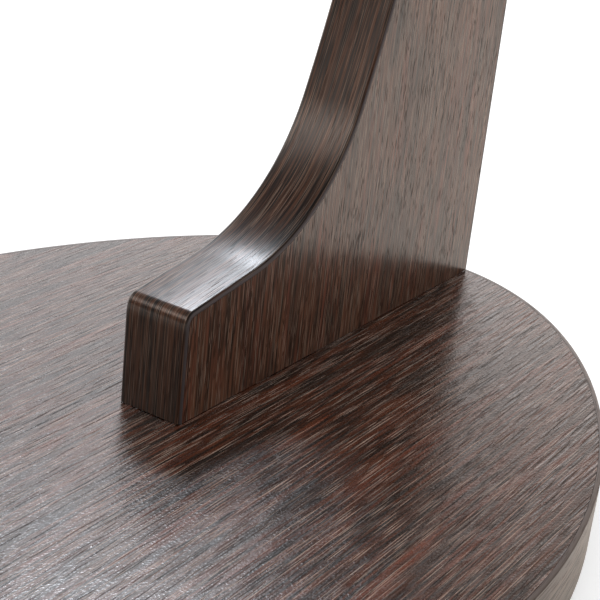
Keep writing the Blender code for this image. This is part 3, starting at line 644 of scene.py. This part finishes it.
def band_section(rounding, steps=8):
    """Side and depth of the strip's cross section: flat outside, quarter-round arrises.

    Its inner edges slip a hair under the board's face, so that no slit shows at the joint.
    """
    turn = np.linspace(0, math.pi / 2, steps)
    across = BOARD / 2 - rounding + rounding * np.cos(turn)
    depth = rounding - rounding * np.sin(turn)
    right = np.stack([across, depth], axis=-1)
    left = right * [-1, 1]
    lap = np.array([[BOARD / 2, BAND - LAP], [BOARD / 2 - LAP_DROP, BAND + LAP]])
    return np.concatenate([lap[::-1] * [-1, 1], left, right[::-1], lap])


def make_band(name, outline, inward, closed, to_world, rounding, material, node, *bores):
    """The cross section carried along the outline; U is the way round it, V the way along."""
    section = band_section(rounding)
    flat = outline[:, None, :] + section[None, :, 1:] * inward[:, None, :]
    side = np.broadcast_to(section[None, :, :1], flat.shape[:2] + (1,))
    grid = to_world(np.concatenate([flat, side], axis=-1))
    rows, columns = grid.shape[:2]
    step_along = np.linalg.norm(np.diff(outline, axis=0, append=outline[:1]), axis=1)
    length = np.concatenate([[0.0], np.cumsum(step_along)])
    step_round = np.linalg.norm(np.diff(section, axis=0, append=section[:1]), axis=1)
    girth = np.concatenate([[0.0], np.cumsum(step_round)])
    quads = grid_faces(rows, columns, closed)
    row, column = quads[:, 0] // columns, quads[:, 0] % columns
    mesh = bpy.data.meshes.new(name)
    faces = quads.tolist()
    if not closed:
        faces += [list(range(columns)), list(range((rows - 1) * columns, rows * columns))]
    mesh.from_pydata(grid.reshape(-1, 3).tolist(), [], faces)
    uv = mesh.uv_layers.new(name="UVMap")
    u = np.stack([girth[column], girth[column + 1], girth[column + 1], girth[column]], axis=-1)
    v = np.stack([length[row], length[row], length[row + 1], length[row + 1]], axis=-1)
    loops = np.zeros((len(mesh.loops), 2), np.float32)
    loops[:quads.size] = np.stack([u, v], axis=-1).reshape(-1, 2)
    uv.data.foreach_set("uv", loops.ravel())
    mesh.materials.append(material)
    if bores:
        mesh = cut_away(mesh, *bores)
        mesh.name = name
    return link_piece(name, tidy_mesh(mesh), "stand", [node], "walnut_edging")


# %% [markdown]
# The base is an egg: an ellipse whose width shrinks towards the back. The upright's outline is
# lines and arcs: the toe's front, its rounded corner, its rising top, a tight hollow, a long flare,
# the straight column, two rounded corners at the top and the straight back edge.

# %% Outlines
BASE_LOW, BASE_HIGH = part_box("base_edge_band")
BASE_LENGTH = BASE_HIGH.y - BASE_LOW.y
BASE_BREADTH = 0.2886
BASE_TAPER = 0.16
UPRIGHT_LOW, UPRIGHT_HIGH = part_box("upright_edge_band")
TOE_HEIGHT = 0.0385
CORNER_ROUND = 0.0046
EASE_ROUND = 0.022
EASE_HEADING = math.radians(79)
TOE_RISE = math.radians(8.9)
TOE_RUN = 0.0357
SWEEP_RADIUS = 0.0774
SWEEP_END = math.radians(67.4)
COLUMN_DEPTH = 0.064
TOP_FRONT_ROUND = 0.028
TOP_BACK_ROUND = 0.012
UPWARD = math.pi / 2


def egg_outline(count=400):
    """y is half the length times cos a, x is half the breadth times sin a (1 - taper cos a)."""
    a = np.linspace(0, 2 * math.pi, count, endpoint=False)
    x = BASE_BREADTH / 2 * np.sin(a) * (1 - BASE_TAPER * np.cos(a))
    y = BASE_LENGTH / 2 * np.cos(a)
    dx = BASE_BREADTH / 2 * (np.cos(a) - BASE_TAPER * np.cos(2 * a))
    dy = -BASE_LENGTH / 2 * np.sin(a)
    inward = np.stack([dy, -dx], axis=-1) / np.hypot(dx, dy)[:, None]
    return np.stack([x, y], axis=-1), inward


def bend(start, heading, heading_to, radius, count):
    """An arc from start that turns from one heading to another, as points and headings."""
    turn = np.sign(heading_to - heading)
    h = np.linspace(heading, heading_to, count + 1)[1:]
    y = start[0] + turn * radius * (np.sin(h) - np.sin(heading))
    z = start[1] - turn * radius * (np.cos(h) - np.cos(heading))
    return np.stack([y, z], axis=-1), h


def run(start, end, heading, count):
    share = np.linspace(0, 1, count + 1)[1:, None]
    return (1 - share) * np.array(start) + share * np.array(end), np.full(count, heading)


def sail_outline():
    """The upright seen from the side, from the toe's foot up the front and down the back."""
    foot, back, front = UPRIGHT_LOW.z, UPRIGHT_HIGH.y, UPRIGHT_LOW.y
    flare = back - front - COLUMN_DEPTH - TOE_RUN * math.cos(TOE_RISE)
    flare -= SWEEP_RADIUS * (math.sin(SWEEP_END) - math.sin(TOE_RISE))
    flare /= 1 - math.sin(SWEEP_END)
    pieces = [(np.array([[front, foot]]), np.array([UPWARD]))]

    def last():
        return pieces[-1][0][-1]

    ease_depth = EASE_ROUND * (1 - math.sin(EASE_HEADING))
    ease_rise = EASE_ROUND * math.cos(EASE_HEADING)
    corner_depth = CORNER_ROUND * (math.sin(EASE_HEADING) - math.sin(TOE_RISE))
    corner_rise = CORNER_ROUND * (math.cos(TOE_RISE) - math.cos(EASE_HEADING))
    front_top = (foot + TOE_HEIGHT + (ease_depth + corner_depth) * math.tan(TOE_RISE)
                 - ease_rise - corner_rise)
    pieces.append(run(last(), (front, front_top), UPWARD, 6))
    pieces.append(bend(last(), UPWARD, EASE_HEADING, EASE_ROUND, 10))
    pieces.append(bend(last(), EASE_HEADING, TOE_RISE, CORNER_ROUND, 16))
    toe_end = (front + TOE_RUN * math.cos(TOE_RISE), foot + TOE_HEIGHT
               + TOE_RUN * math.sin(TOE_RISE))
    pieces.append(run(last(), toe_end, TOE_RISE, 6))
    pieces.append(bend(last(), TOE_RISE, SWEEP_END, SWEEP_RADIUS, 48))
    pieces.append(bend(last(), SWEEP_END, UPWARD, flare, 40))
    pieces.append(run(last(), (back - COLUMN_DEPTH, UPRIGHT_HIGH.z - TOP_FRONT_ROUND), UPWARD, 20))
    pieces.append(bend(last(), UPWARD, 0.0, TOP_FRONT_ROUND, 20))
    pieces.append(run(last(), (back - TOP_BACK_ROUND, UPRIGHT_HIGH.z), 0.0, 4))
    pieces.append(bend(last(), 0.0, -UPWARD, TOP_BACK_ROUND, 16))
    pieces.append(run(last(), (back, foot), -UPWARD, 30))
    points = np.concatenate([points for points, headings in pieces])
    heading = np.concatenate([headings for points, headings in pieces])
    return points, np.stack([np.sin(heading), -np.cos(heading)], axis=-1)


# %% Bands
PIVOT = np.array(frame["joints"][0]["pos_m"])
FORWARD = np.array([0.0, -1.0, 0.0])
ROD_RADIUS = 0.004
BUSH_BORE = ROD_RADIUS + 0.0002
BUSH_BODY = BUSH_BORE + 0.002
NUT_WELL = 0.0085
PAST = 0.004
swivel_line = straight(PIVOT, FORWARD)


def lengths(node):
    """How far a node reaches forward of the column's front, at its back and at its front."""
    low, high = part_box(node)
    return PIVOT[1] - high.y, PIVOT[1] - low.y


def half_width(node):
    low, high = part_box(node)
    return (high.x - low.x) / 2


def drill(radius, low, high):
    return turned("drill", [(low, 0), (low, radius), (high, radius), (high, 0)], swivel_line)


middle = (BASE_LOW.z + BASE_HIGH.z) / 2
egg, egg_inward = egg_outline()
sail, sail_inward = sail_outline()
base_band = make_band("base_band", egg, egg_inward, True, lambda g: g + [0, 0, middle],
                      BASE_ROUND, base_edging, "base_edge_band")
upright_band = make_band("upright_band", sail, sail_inward, False, lambda g: g[..., [2, 0, 1]],
                         UPRIGHT_ROUND, upright_edging, "upright_edge_band",
                         drill(BUSH_BODY + 0.0003, -PAST, PAST),
                         drill(NUT_WELL, -COLUMN_DEPTH - PAST, -COLUMN_DEPTH + PAST))

# %% [markdown]
# The yoke is one steel rod bent to a U, welded to a shank that turns in two nylon bushes. The rod
# is turned about a bent line: straight across, a quarter bend at each side, then the two prongs,
# which tilt up a little so that a guitar can't slide off. A rippled bead covers the weld, and
# the shank has a thrust collar, a bearing part and a threaded end for the lock nut.

# %% Yoke
YOKE_REACH = 0.052
YOKE_GAP = 0.050
YOKE_BEND = 0.015
SLEEVE_WALL = 0.004
SEAT = 0.0003
PRONG_LENGTH = 0.072
PRONG_TILT = math.radians(8.0)
PRONG_END_ROUND = 0.0012
YOKE_SPACING = YOKE_GAP / 2 + SLEEVE_WALL + ROD_RADIUS
YOKE_START = PIVOT + YOKE_REACH * FORWARD
PRONG_AXIS = np.array([0.0, -math.cos(PRONG_TILT), math.sin(PRONG_TILT)])
CROSS_HALF = YOKE_SPACING - YOKE_BEND
BEND_LENGTH = YOKE_BEND * math.pi / 2
ROD_HALF = CROSS_HALF + BEND_LENGTH + PRONG_LENGTH - YOKE_BEND
COLLAR_RADIUS = 0.0085
COLLAR_LENGTH = 0.005
STUD_RADIUS = 0.003


def yoke_line(s):
    """The rod's middle line at length s from the middle of the cross rod.

    It runs straight across, then turns through |s| - half, divided by the bend's radius, up to a
    quarter turn, then runs along the prong. The side vector lies in the yoke's own plane.
    """
    hand = np.where(s < 0, -1.0, 1.0)[:, None]
    length = np.abs(s)[:, None]
    angle = np.clip((length - CROSS_HALF) / YOKE_BEND, 0, math.pi / 2)
    beyond = np.maximum(length - CROSS_HALF - BEND_LENGTH, 0)
    across = np.array([[1.0, 0.0, 0.0]])
    point = (YOKE_START + hand * (np.minimum(length, CROSS_HALF) + YOKE_BEND * np.sin(angle)) * across
             + (YOKE_BEND * (1 - np.cos(angle)) + beyond) * PRONG_AXIS)
    side = -hand * np.sin(angle) * across + np.cos(angle) * PRONG_AXIS
    up = np.broadcast_to(np.cross(across[0], PRONG_AXIS), point.shape)
    return point, side, up


rod_profile = soften([(-ROD_HALF, 0), (-ROD_HALF, ROD_RADIUS), (ROD_HALF, ROD_RADIUS),
                      (ROD_HALF, 0)], PRONG_END_ROUND)
link_piece("yoke_rod", turned("yoke_rod", rod_profile, yoke_line, step=0.0012), "yoke", ["yoke"],
           "black_steel")
stud_end = lengths("yoke")[0]
nut_back, nut_front = lengths("yoke_lock_nut")
washer_back, washer_front = lengths("yoke_washer")
shoulder = washer_front + SEAT
collar_back = lengths("front_bush")[1] + SEAT
collar_front = collar_back + COLLAR_LENGTH
shank_profile = soften([(stud_end, 0), (stud_end, STUD_RADIUS), (shoulder, STUD_RADIUS),
                        (shoulder, ROD_RADIUS), (collar_back, ROD_RADIUS),
                        (collar_back, COLLAR_RADIUS), (collar_front, COLLAR_RADIUS),
                        (collar_front, ROD_RADIUS), (YOKE_REACH, ROD_RADIUS), (YOKE_REACH, 0)],
                       0.0007)
link_piece("yoke_shank", turned("yoke_shank", shank_profile, swivel_line,
                                thread=(stud_end, shoulder, 0.001, 0.0004)),
           "yoke", ["yoke"], "black_steel")

# %% [markdown]
# The weld runs round the shank where it meets the cross rod. It is a ring whose section swells in
# ripples, as each drop of weld metal sets over the last.

# %% Weld bead
WELD_RIPPLES = 22
WELD_ROUND = 176
WELD_SIDES = 16
WELD_THROAT = 0.0013


def weld_bead():
    """A ring round the shank: at angle a, its section swells by 8% cos(ripples a).

    Two rods of one radius meet where the length along the shank is the reach less radius |cos a|.
    A small number under the root rounds off the corner that this has at the top and underneath.
    """
    a = np.linspace(0, 2 * math.pi, WELD_ROUND, endpoint=False)[:, None]
    b = np.linspace(0, 2 * math.pi, WELD_SIDES, endpoint=False)[None, :]
    thick = WELD_THROAT * (1 + 0.08 * np.cos(WELD_RIPPLES * a) + 0.05 * np.sin(3 * a + 1))
    thick = thick * (0.75 + 0.35 * np.abs(np.cos(a)))
    ring = ROD_RADIUS - 0.0001 + thick * np.cos(b)
    along = YOKE_REACH - ROD_RADIUS * np.sqrt(np.cos(a) ** 2 + 0.12) + thick * np.sin(b)
    points = PIVOT + np.stack([ring * np.cos(a), -along, ring * np.sin(a)], axis=-1)
    mesh = bpy.data.meshes.new("yoke_weld")
    faces = grid_faces(WELD_ROUND, WELD_SIDES, True)
    mesh.from_pydata(points.reshape(-1, 3).tolist(), [], faces.tolist())
    return tidy_mesh(mesh)


link_piece("yoke_weld", weld_bead(), "yoke", ["yoke"], "black_steel")

# %% [markdown]
# Each prong wears a rubber sleeve and a round-nosed cap. The sleeve follows the rod round its bend
# and has rolled ends. The cap is pushed on behind it, and two fine rings mark its mould.

# %% Sleeves and caps
SLEEVE_SIDE_GAP = 0.006
CAP_RADIUS = 0.0105
CAP_FLAT = 0.0045
CAP_NOSE_WALL = 0.00525
CAP_NOSE_STEPS = 20
SLEEVE_BORE = ROD_RADIUS + SEAT
CAP_BORE_DEPTH = CAP_FLAT + CAP_RADIUS - CAP_NOSE_WALL
SLEEVE_START = ROD_RADIUS + SLEEVE_SIDE_GAP
SLEEVE_END = ROD_HALF - CAP_BORE_DEPTH
SLEEVE_OUTER = ROD_RADIUS + SLEEVE_WALL
sleeve_profile = soften([(SLEEVE_START, SLEEVE_BORE), (SLEEVE_START, SLEEVE_OUTER),
                         (SLEEVE_END, SLEEVE_OUTER), (SLEEVE_END, SLEEVE_BORE)], 0.0012,
                        closed=True)
nose = np.linspace(0, math.pi / 2, CAP_NOSE_STEPS)
cap_wall = soften([(CAP_BORE_DEPTH, 0), (CAP_BORE_DEPTH, SLEEVE_BORE), (0, SLEEVE_BORE),
                   (0, CAP_RADIUS - 0.0003), (0.0012, CAP_RADIUS), (0.0020, CAP_RADIUS),
                   (0.0023, CAP_RADIUS - 0.0004), (0.0026, CAP_RADIUS), (0.0034, CAP_RADIUS),
                   (0.0037, CAP_RADIUS - 0.0004), (0.0040, CAP_RADIUS),
                   (CAP_FLAT, CAP_RADIUS)], 0.0006)
cap_nose = np.stack([CAP_FLAT + CAP_RADIUS * np.sin(nose), CAP_RADIUS * np.cos(nose)], axis=-1)
cap_profile = np.concatenate([cap_wall, cap_nose[1:]])
for name, hand in (("left", -1), ("right", 1)):
    sleeve = turned("sleeve", sleeve_profile, lambda s, hand=hand: yoke_line(hand * s),
                    closed=True, step=0.0012)
    link_piece("rubber_sleeve_" + name, sleeve, "yoke", ["sleeve_" + name], "black_rubber")
    spot = yoke_line(np.array([hand * (SLEEVE_END + SEAT)]))[0][0]
    cap = turned("cap", cap_profile, straight(spot, PRONG_AXIS), step=0.0008)
    link_piece("round_cap_" + name, cap, "yoke", ["prong_cap_" + name], "black_rubber")

# %% [markdown]
# The column carries two flanged bushes for the shank, and a shallow dome of plastic over the lock
# nut at the back. The nut and its washer are inside, and are made as they are: six sides with
# chamfered corners, and a flat ring.

# %% Bushes, nut, washer and cover
FLANGE = 0.003
REAR_FLANGE = 0.0015
COVER_PLUG = 0.004
COVER_WALL = 0.0012
NUT_CHAMFER = 0.0008
back, front = lengths("front_bush")
flange = half_width("front_bush")
front_bush = [(back, BUSH_BORE), (back, BUSH_BODY), (front - FLANGE, BUSH_BODY),
              (front - FLANGE, flange), (front, flange), (front, BUSH_BORE)]
back, front = lengths("rear_bush")
flange = half_width("rear_bush")
rear_bush = [(back, BUSH_BORE), (back, flange), (back + REAR_FLANGE, flange),
             (back + REAR_FLANGE, BUSH_BODY), (front, BUSH_BODY), (front, BUSH_BORE)]
for name, profile in (("front_bush", front_bush), ("rear_bush", rear_bush)):
    bush = turned(name, soften(profile, 0.0008, closed=True), swivel_line, closed=True)
    link_piece("nylon_" + name, bush, "stand", [name], "black_nylon")
nut_side = half_width("yoke_lock_nut")
nut_flat = nut_side * math.cos(math.radians(30))
nut_bore = STUD_RADIUS + SEAT
nut_profile = [(nut_back, nut_bore, 0), (nut_back, nut_flat, 0), (nut_back + NUT_CHAMFER, nut_flat, 1),
               (nut_front - NUT_CHAMFER, nut_flat, 1), (nut_front, nut_flat, 0),
               (nut_front, nut_bore, 0)]
lock_nut = turned("lock_nut", soften(nut_profile, 0.0003, closed=True), swivel_line, closed=True)
link_piece("lock_nut", lock_nut, "yoke", ["yoke_lock_nut"], "zinc_plated_steel")
washer_side = half_width("yoke_washer")
washer_profile = [(washer_back, nut_bore), (washer_back, washer_side),
                  (washer_front, washer_side), (washer_front, nut_bore)]
link_piece("nut_washer", turned("nut_washer", soften(washer_profile, 0.0004, closed=True),
                                swivel_line, closed=True),
           "yoke", ["yoke_washer"], "zinc_plated_steel")
back, front = lengths("rear_cover")
edge = half_width("rear_cover")
seat = front - COVER_PLUG
plug = NUT_WELL - SEAT
cover_profile = [(back, 0), (back + 0.0002, edge * 0.6), (seat - 0.0003, edge), (seat, edge),
                 (seat, plug), (front, plug), (front, plug - COVER_WALL),
                 (seat, plug - COVER_WALL), (seat, 0)]
link_piece("nut_cover", turned("nut_cover", soften(cover_profile, 0.0004), swivel_line, step=0.0008),
           "stand", ["rear_cover"], "brown_plastic")

# %% [markdown]
# A foam pad on the column's front keeps the guitar's back off the wood. It is a moulded strip:
# flat where it is stuck on, round at its edges, crowned, with a groove pressed in along its rim,
# and with long sides that pull in a little. A padded piece like this could be inflated by a
# cloth simulation, but a strip of firm foam is stiff, so a formula gives its form better.

# %% Foam pad
PAD_CORNER = 0.004
PAD_GROOVE_INSET = 0.0034
PAD_GROOVE_DEPTH = 0.0006
PAD_PULL = 0.0004
PAD_ARC = 12
PAD_SIDE = 36


def pad_rings(width, length, thick):
    """Rings of a rounded rectangle, each lying an inset inside the last.

    The inset goes from half the width, on the flat back, out to 0 at the side, and back to half
    the width on the crowned front. A ring's corners have the pad's corner radius less the inset,
    and its straight sides come from the signs of the corners that they join.
    """
    quarter = np.arange(4)[:, None]
    turn = quarter + np.concatenate([np.linspace(0, 1, PAD_ARC), np.ones(PAD_SIDE)])
    edge = quarter + np.concatenate([np.zeros(PAD_ARC), np.linspace(0, 1, PAD_SIDE + 2)[1:-1]])
    turn, edge = turn.ravel() * math.pi / 2, edge.ravel()
    corners = np.array([[1, 1], [-1, 1], [-1, -1], [1, -1], [1, 1]], float)
    sign = np.stack([np.interp(edge, np.arange(5), side) for side in corners.T], axis=-1)
    bow = np.stack([np.cos(turn), np.sin(turn)], axis=-1)
    half = width / 2
    path = soften([(half, 0), (0.0006, 0), (0, 0.0012), (0, thick - 0.0030), (0.0012, thick - 0.0008),
                   (0.0040, thick), (half, thick)], 0.0012)
    path = refine(path, 0.0005)
    inset, rise = path[:, 0], path[:, 1]
    front = rise > thick / 2
    crown = 0.0007 * (1 - np.clip(inset / half, 0, 1)) ** 2
    groove = PAD_GROOVE_DEPTH * np.exp(-((inset - PAD_GROOVE_INSET) / 0.0005) ** 2)
    rise = np.where(front, rise - crown - groove, rise)
    corner = np.maximum(PAD_CORNER - inset, 0)[:, None, None]
    reach = np.stack([half - inset, length / 2 - inset], axis=-1)[:, None, :] - corner
    ring = reach * sign + corner * bow
    pull = PAD_PULL * (1 - (2 * ring[..., 1] / length) ** 2) * ring[..., 0] / half
    return np.stack([ring[..., 0] - pull, np.broadcast_to(rise[:, None], ring.shape[:2]),
                     ring[..., 1]], axis=-1)


pad_low, pad_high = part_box("body_pad")
pad_size = pad_high - pad_low
rings = pad_rings(pad_size.x, pad_size.z, pad_size.y)
rings[..., 1] = pad_high.y - rings[..., 1]
rings[..., 2] += (pad_low.z + pad_high.z) / 2
pad_mesh = bpy.data.meshes.new("foam_pad")
pad_mesh.from_pydata(rings.reshape(-1, 3).tolist(), [],
                     grid_faces(rings.shape[0], rings.shape[1], False).tolist())
foam_pad = link_piece("foam_pad", tidy_mesh(pad_mesh), "stand", ["body_pad"], "black_foam")

# %% [markdown]
# Under the base, five rubber feet are screwed on, and three socket bolts in counterbores hold the
# upright. The screws' heads have a cross recess and the bolts' heads a six-sided socket.

# %% Feet, screws and bolts
FOOT_RECESS = 0.0048
FOOT_RECESS_DEPTH = 0.0028
FOOT_DRAFT = 0.0015
SCREW_RADIUS = 0.00175
SCREW_HEAD = 0.0038
SCREW_HEAD_FLAT = 0.0023
SCREW_HEAD_HEIGHT = 0.0019
SCREW_POINT = 0.0035
BOLT_RADIUS = 0.003
BOLT_HEAD = 0.005
BOLT_HEAD_HEIGHT = 0.006
BOLT_SOCKET = 0.0025
BOLT_SOCKET_DEPTH = 0.003


def cross_recess(r, a):
    """Pushes a screw's face in where a cross of two bars lies, deepest in the middle."""
    x, y = np.abs(r * np.cos(a)), np.abs(r * np.sin(a))
    bar = np.minimum(x, y) < 0.00042
    deep = np.clip(1 - np.maximum(x, y) / 0.0021, 0, 1)
    return np.where(r < 0.0022, np.where(bar, 0.0013 * np.sqrt(deep), 0.0), 0.0)


def upward(node):
    low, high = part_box(node)
    spot = ((low.x + high.x) / 2, (low.y + high.y) / 2, 0.0)
    return straight(spot, (0, 0, 1)), low.z, high.z


for name in ("rear", "side_left", "side_right", "front_left", "front_right"):
    line, low, high = upward("foot_" + name)
    wide = half_width("foot_" + name)
    hole = SCREW_RADIUS + SEAT
    profile = soften([(FOOT_RECESS_DEPTH, hole), (FOOT_RECESS_DEPTH, FOOT_RECESS),
                      (low, FOOT_RECESS), (low, wide - FOOT_DRAFT), (low + FOOT_DRAFT, wide),
                      (high, wide), (high, hole)], 0.0007, closed=True)
    link_piece("rubber_foot_" + name, turned("rubber_foot", profile, line, closed=True), "stand",
               ["foot_" + name], "black_rubber")
for number in range(1, 6):
    line, low, high = upward(f"foot_screw_{number}")
    head_high = low + SCREW_HEAD_HEIGHT
    face = [(low, 0), (low, SCREW_HEAD_FLAT)]
    rest = soften([(low, SCREW_HEAD_FLAT), (head_high, SCREW_HEAD), (head_high, SCREW_RADIUS),
                   (high - SCREW_POINT, SCREW_RADIUS), (high, 0)], 0.0003)
    profile = np.concatenate([face, rest[1:]])
    screw = turned("screw", profile, line, step=0.0003, press=cross_recess,
                   thread=(head_high, high, 0.0013, 0.0004))
    link_piece(f"cross_screw_{number}", screw, "stand", [f"foot_screw_{number}"],
               "zinc_plated_steel")
for number in range(1, 4):
    line, low, high = upward(f"joint_bolt_{number}")
    socket = low + BOLT_SOCKET_DEPTH
    head_high = low + BOLT_HEAD_HEIGHT
    profile = soften([(socket + 0.0008, 0, 0), (socket, BOLT_SOCKET, 1), (low + 0.0004, BOLT_SOCKET, 1),
                      (low, BOLT_SOCKET + 0.0005, 0), (low, BOLT_HEAD, 0), (head_high, BOLT_HEAD, 0),
                      (head_high, BOLT_RADIUS, 0), (high, BOLT_RADIUS, 0), (high, 0, 0)], 0.0004)
    bolt = turned("bolt", profile, line, thread=(head_high, high, 0.001, 0.0004))
    link_piece(f"socket_bolt_{number}", bolt, "stand", [f"joint_bolt_{number}"],
               "zinc_plated_steel")
    line, low, high = upward(f"joint_washer_{number}")
    wide = half_width(f"joint_washer_{number}")
    profile = soften([(low, BOLT_RADIUS + SEAT), (low, wide), (high, wide),
                      (high, BOLT_RADIUS + SEAT)], 0.0004, closed=True)
    link_piece(f"bolt_washer_{number}", turned("bolt_washer", profile, line, closed=True), "stand",
               [f"joint_washer_{number}"], "zinc_plated_steel")

# %% [markdown]
# The photograph has a white floor and white walls, a broad soft light behind the stand and a dark
# ceiling. The foil is glossy enough to mirror them: the toe's top shows the light, the hollow
# above it shows the ceiling, and the base shows the pale wall.

# %% Floor, light and world


def add_floor():
    """A wide flat sheet that the camera sees as white, with the stand's shadow on it. In mirrors it is painted
    warmer and given a faint warm glow, a painted reflection.
    """
    mesh = bpy.data.meshes.new("floor")
    reach = 6.0
    mesh.from_pydata([(-reach, -reach, 0), (reach, -reach, 0), (reach, reach, 0),
                      (-reach, reach, 0)], [], [(0, 1, 2, 3)])
    made, tree, shader = new_material("studio_floor")
    shader.inputs["Roughness"].default_value = 0.9
    path = add_node(tree, "LightPath")
    # Glossy rays see a warmer floor colour: a painted reflection tint.
    floor_colour_warm_in_mirrors = blend_colour(tree, path.outputs["Is Glossy Ray"], (0.80, 0.80, 0.80), (0.82, 0.74, 0.67))
    feed(tree, floor_colour_warm_in_mirrors, shader.inputs["Base Color"])
    seen = math_node(tree, 'MAXIMUM', path.outputs["Is Camera Ray"],
                     path.outputs["Is Transmission Ray"])
    glow_colour_warm_in_mirrors = blend_colour(tree, seen, (1.0, 0.80, 0.62), (1.0, 1.0, 1.0))
    feed(tree, glow_colour_warm_in_mirrors, shader.inputs["Emission Color"])
    # Glossy rays also see a faint warm glow from the floor: painted reflected light.
    glow = math_node(tree, 'MULTIPLY', path.outputs["Is Glossy Ray"], 0.07)
    glow = math_node(tree, 'MULTIPLY_ADD', seen, 0.45, glow)
    feed(tree, glow, shader.inputs["Emission Strength"])
    mesh.materials.append(made)
    floor = bpy.data.objects.new("floor", mesh)
    bpy.context.scene.collection.objects.link(floor)


def add_panel(name, aim, place, size, power):
    """A square soft light at a place, turned to face the point it is aimed at."""
    data = bpy.data.lights.new(name, 'AREA')
    data.shape = 'RECTANGLE'
    data.size, data.size_y = size
    data.energy = power
    data.color = (0.93, 0.98, 1.06)
    light = bpy.data.objects.new(name, data)
    bpy.context.scene.collection.objects.link(light)
    light.location = place
    light.rotation_euler = (Vector(aim) - Vector(place)).to_track_quat('-Z', 'Y').to_euler()
    return light


def build_world():
    """White for what the camera sees. Mirrors see white walls behind and to the left, dim ones to
    the right and a dark ceiling; what is left gets an even light, a little dimmer in front."""
    world = bpy.data.worlds.new("studio")
    bpy.context.scene.world = world
    world.use_nodes = True
    tree = world.node_tree
    tree.nodes.clear()
    direction = add_node(tree, "TexCoord").outputs["Generated"]
    split = add_node(tree, "SeparateXYZ")
    feed(tree, direction, split.inputs[0])
    from_front = ramp(tree, split.outputs["Y"], -0.75, 0.1)
    front = blend_colour(tree, ramp(tree, split.outputs["Z"], 0.41, 0.52),
                         (0.08, 0.064, 0.058), (2.60, 2.20, 1.96))
    rightness = ramp(tree, split.outputs["X"], -0.40, -0.33)
    low_wall = blend_colour(tree, rightness, (1.38, 1.32, 1.31), (1.60, 1.43, 1.35))
    high_wall = blend_colour(tree, rightness, (0.92, 0.88, 0.90), (0.44, 0.34, 0.30))
    back_wall = blend_colour(tree, ramp(tree, split.outputs["Z"], 0.35, 0.45), low_wall, high_wall)
    wall = blend_colour(tree, from_front, front, back_wall)
    to_right = ramp(tree, split.outputs["X"], -0.26, 0.22)
    wall = blend_colour(tree, to_right, wall, (0.15, 0.112, 0.088))
    height = math_node(tree, 'MULTIPLY_ADD', from_front, 0.12, split.outputs["Z"])
    mirrored = blend_colour(tree, ramp(tree, height, 0.64, 0.84), wall, (0.075, 0.065, 0.06))
    to_back = ramp(tree, split.outputs["Y"], -0.6, 0.6)
    upward = math_node(tree, 'MAXIMUM', split.outputs["Z"], 0.0)
    upward = math_node(tree, 'POWER', upward, 3.0)
    even = math_node(tree, 'MULTIPLY_ADD', to_back, 0.60, 0.06)
    even = math_node(tree, 'MULTIPLY_ADD', upward, 1.2, even)
    path = add_node(tree, "LightPath")
    sky = blend_colour(tree, path.outputs["Is Glossy Ray"], even, mirrored)
    shown = math_node(tree, 'MAXIMUM', path.outputs["Is Camera Ray"],
                      path.outputs["Is Transmission Ray"])
    sky = blend_colour(tree, shown, sky, (1.0, 1.0, 1.0))
    back = add_node(tree, "Background")
    feed(tree, sky, back.inputs["Color"])
    back.inputs["Strength"].default_value = 1.0
    out = add_node(tree, "OutputWorld")
    feed(tree, back.outputs[0], out.inputs["Surface"])


add_floor()
add_panel("back_panel", (0, 0.0, 0.05), (-1.06, 1.29, 1.80), (0.36, 0.28), 10.4)
build_world()
bpy.context.scene.view_settings.view_transform = 'Standard'
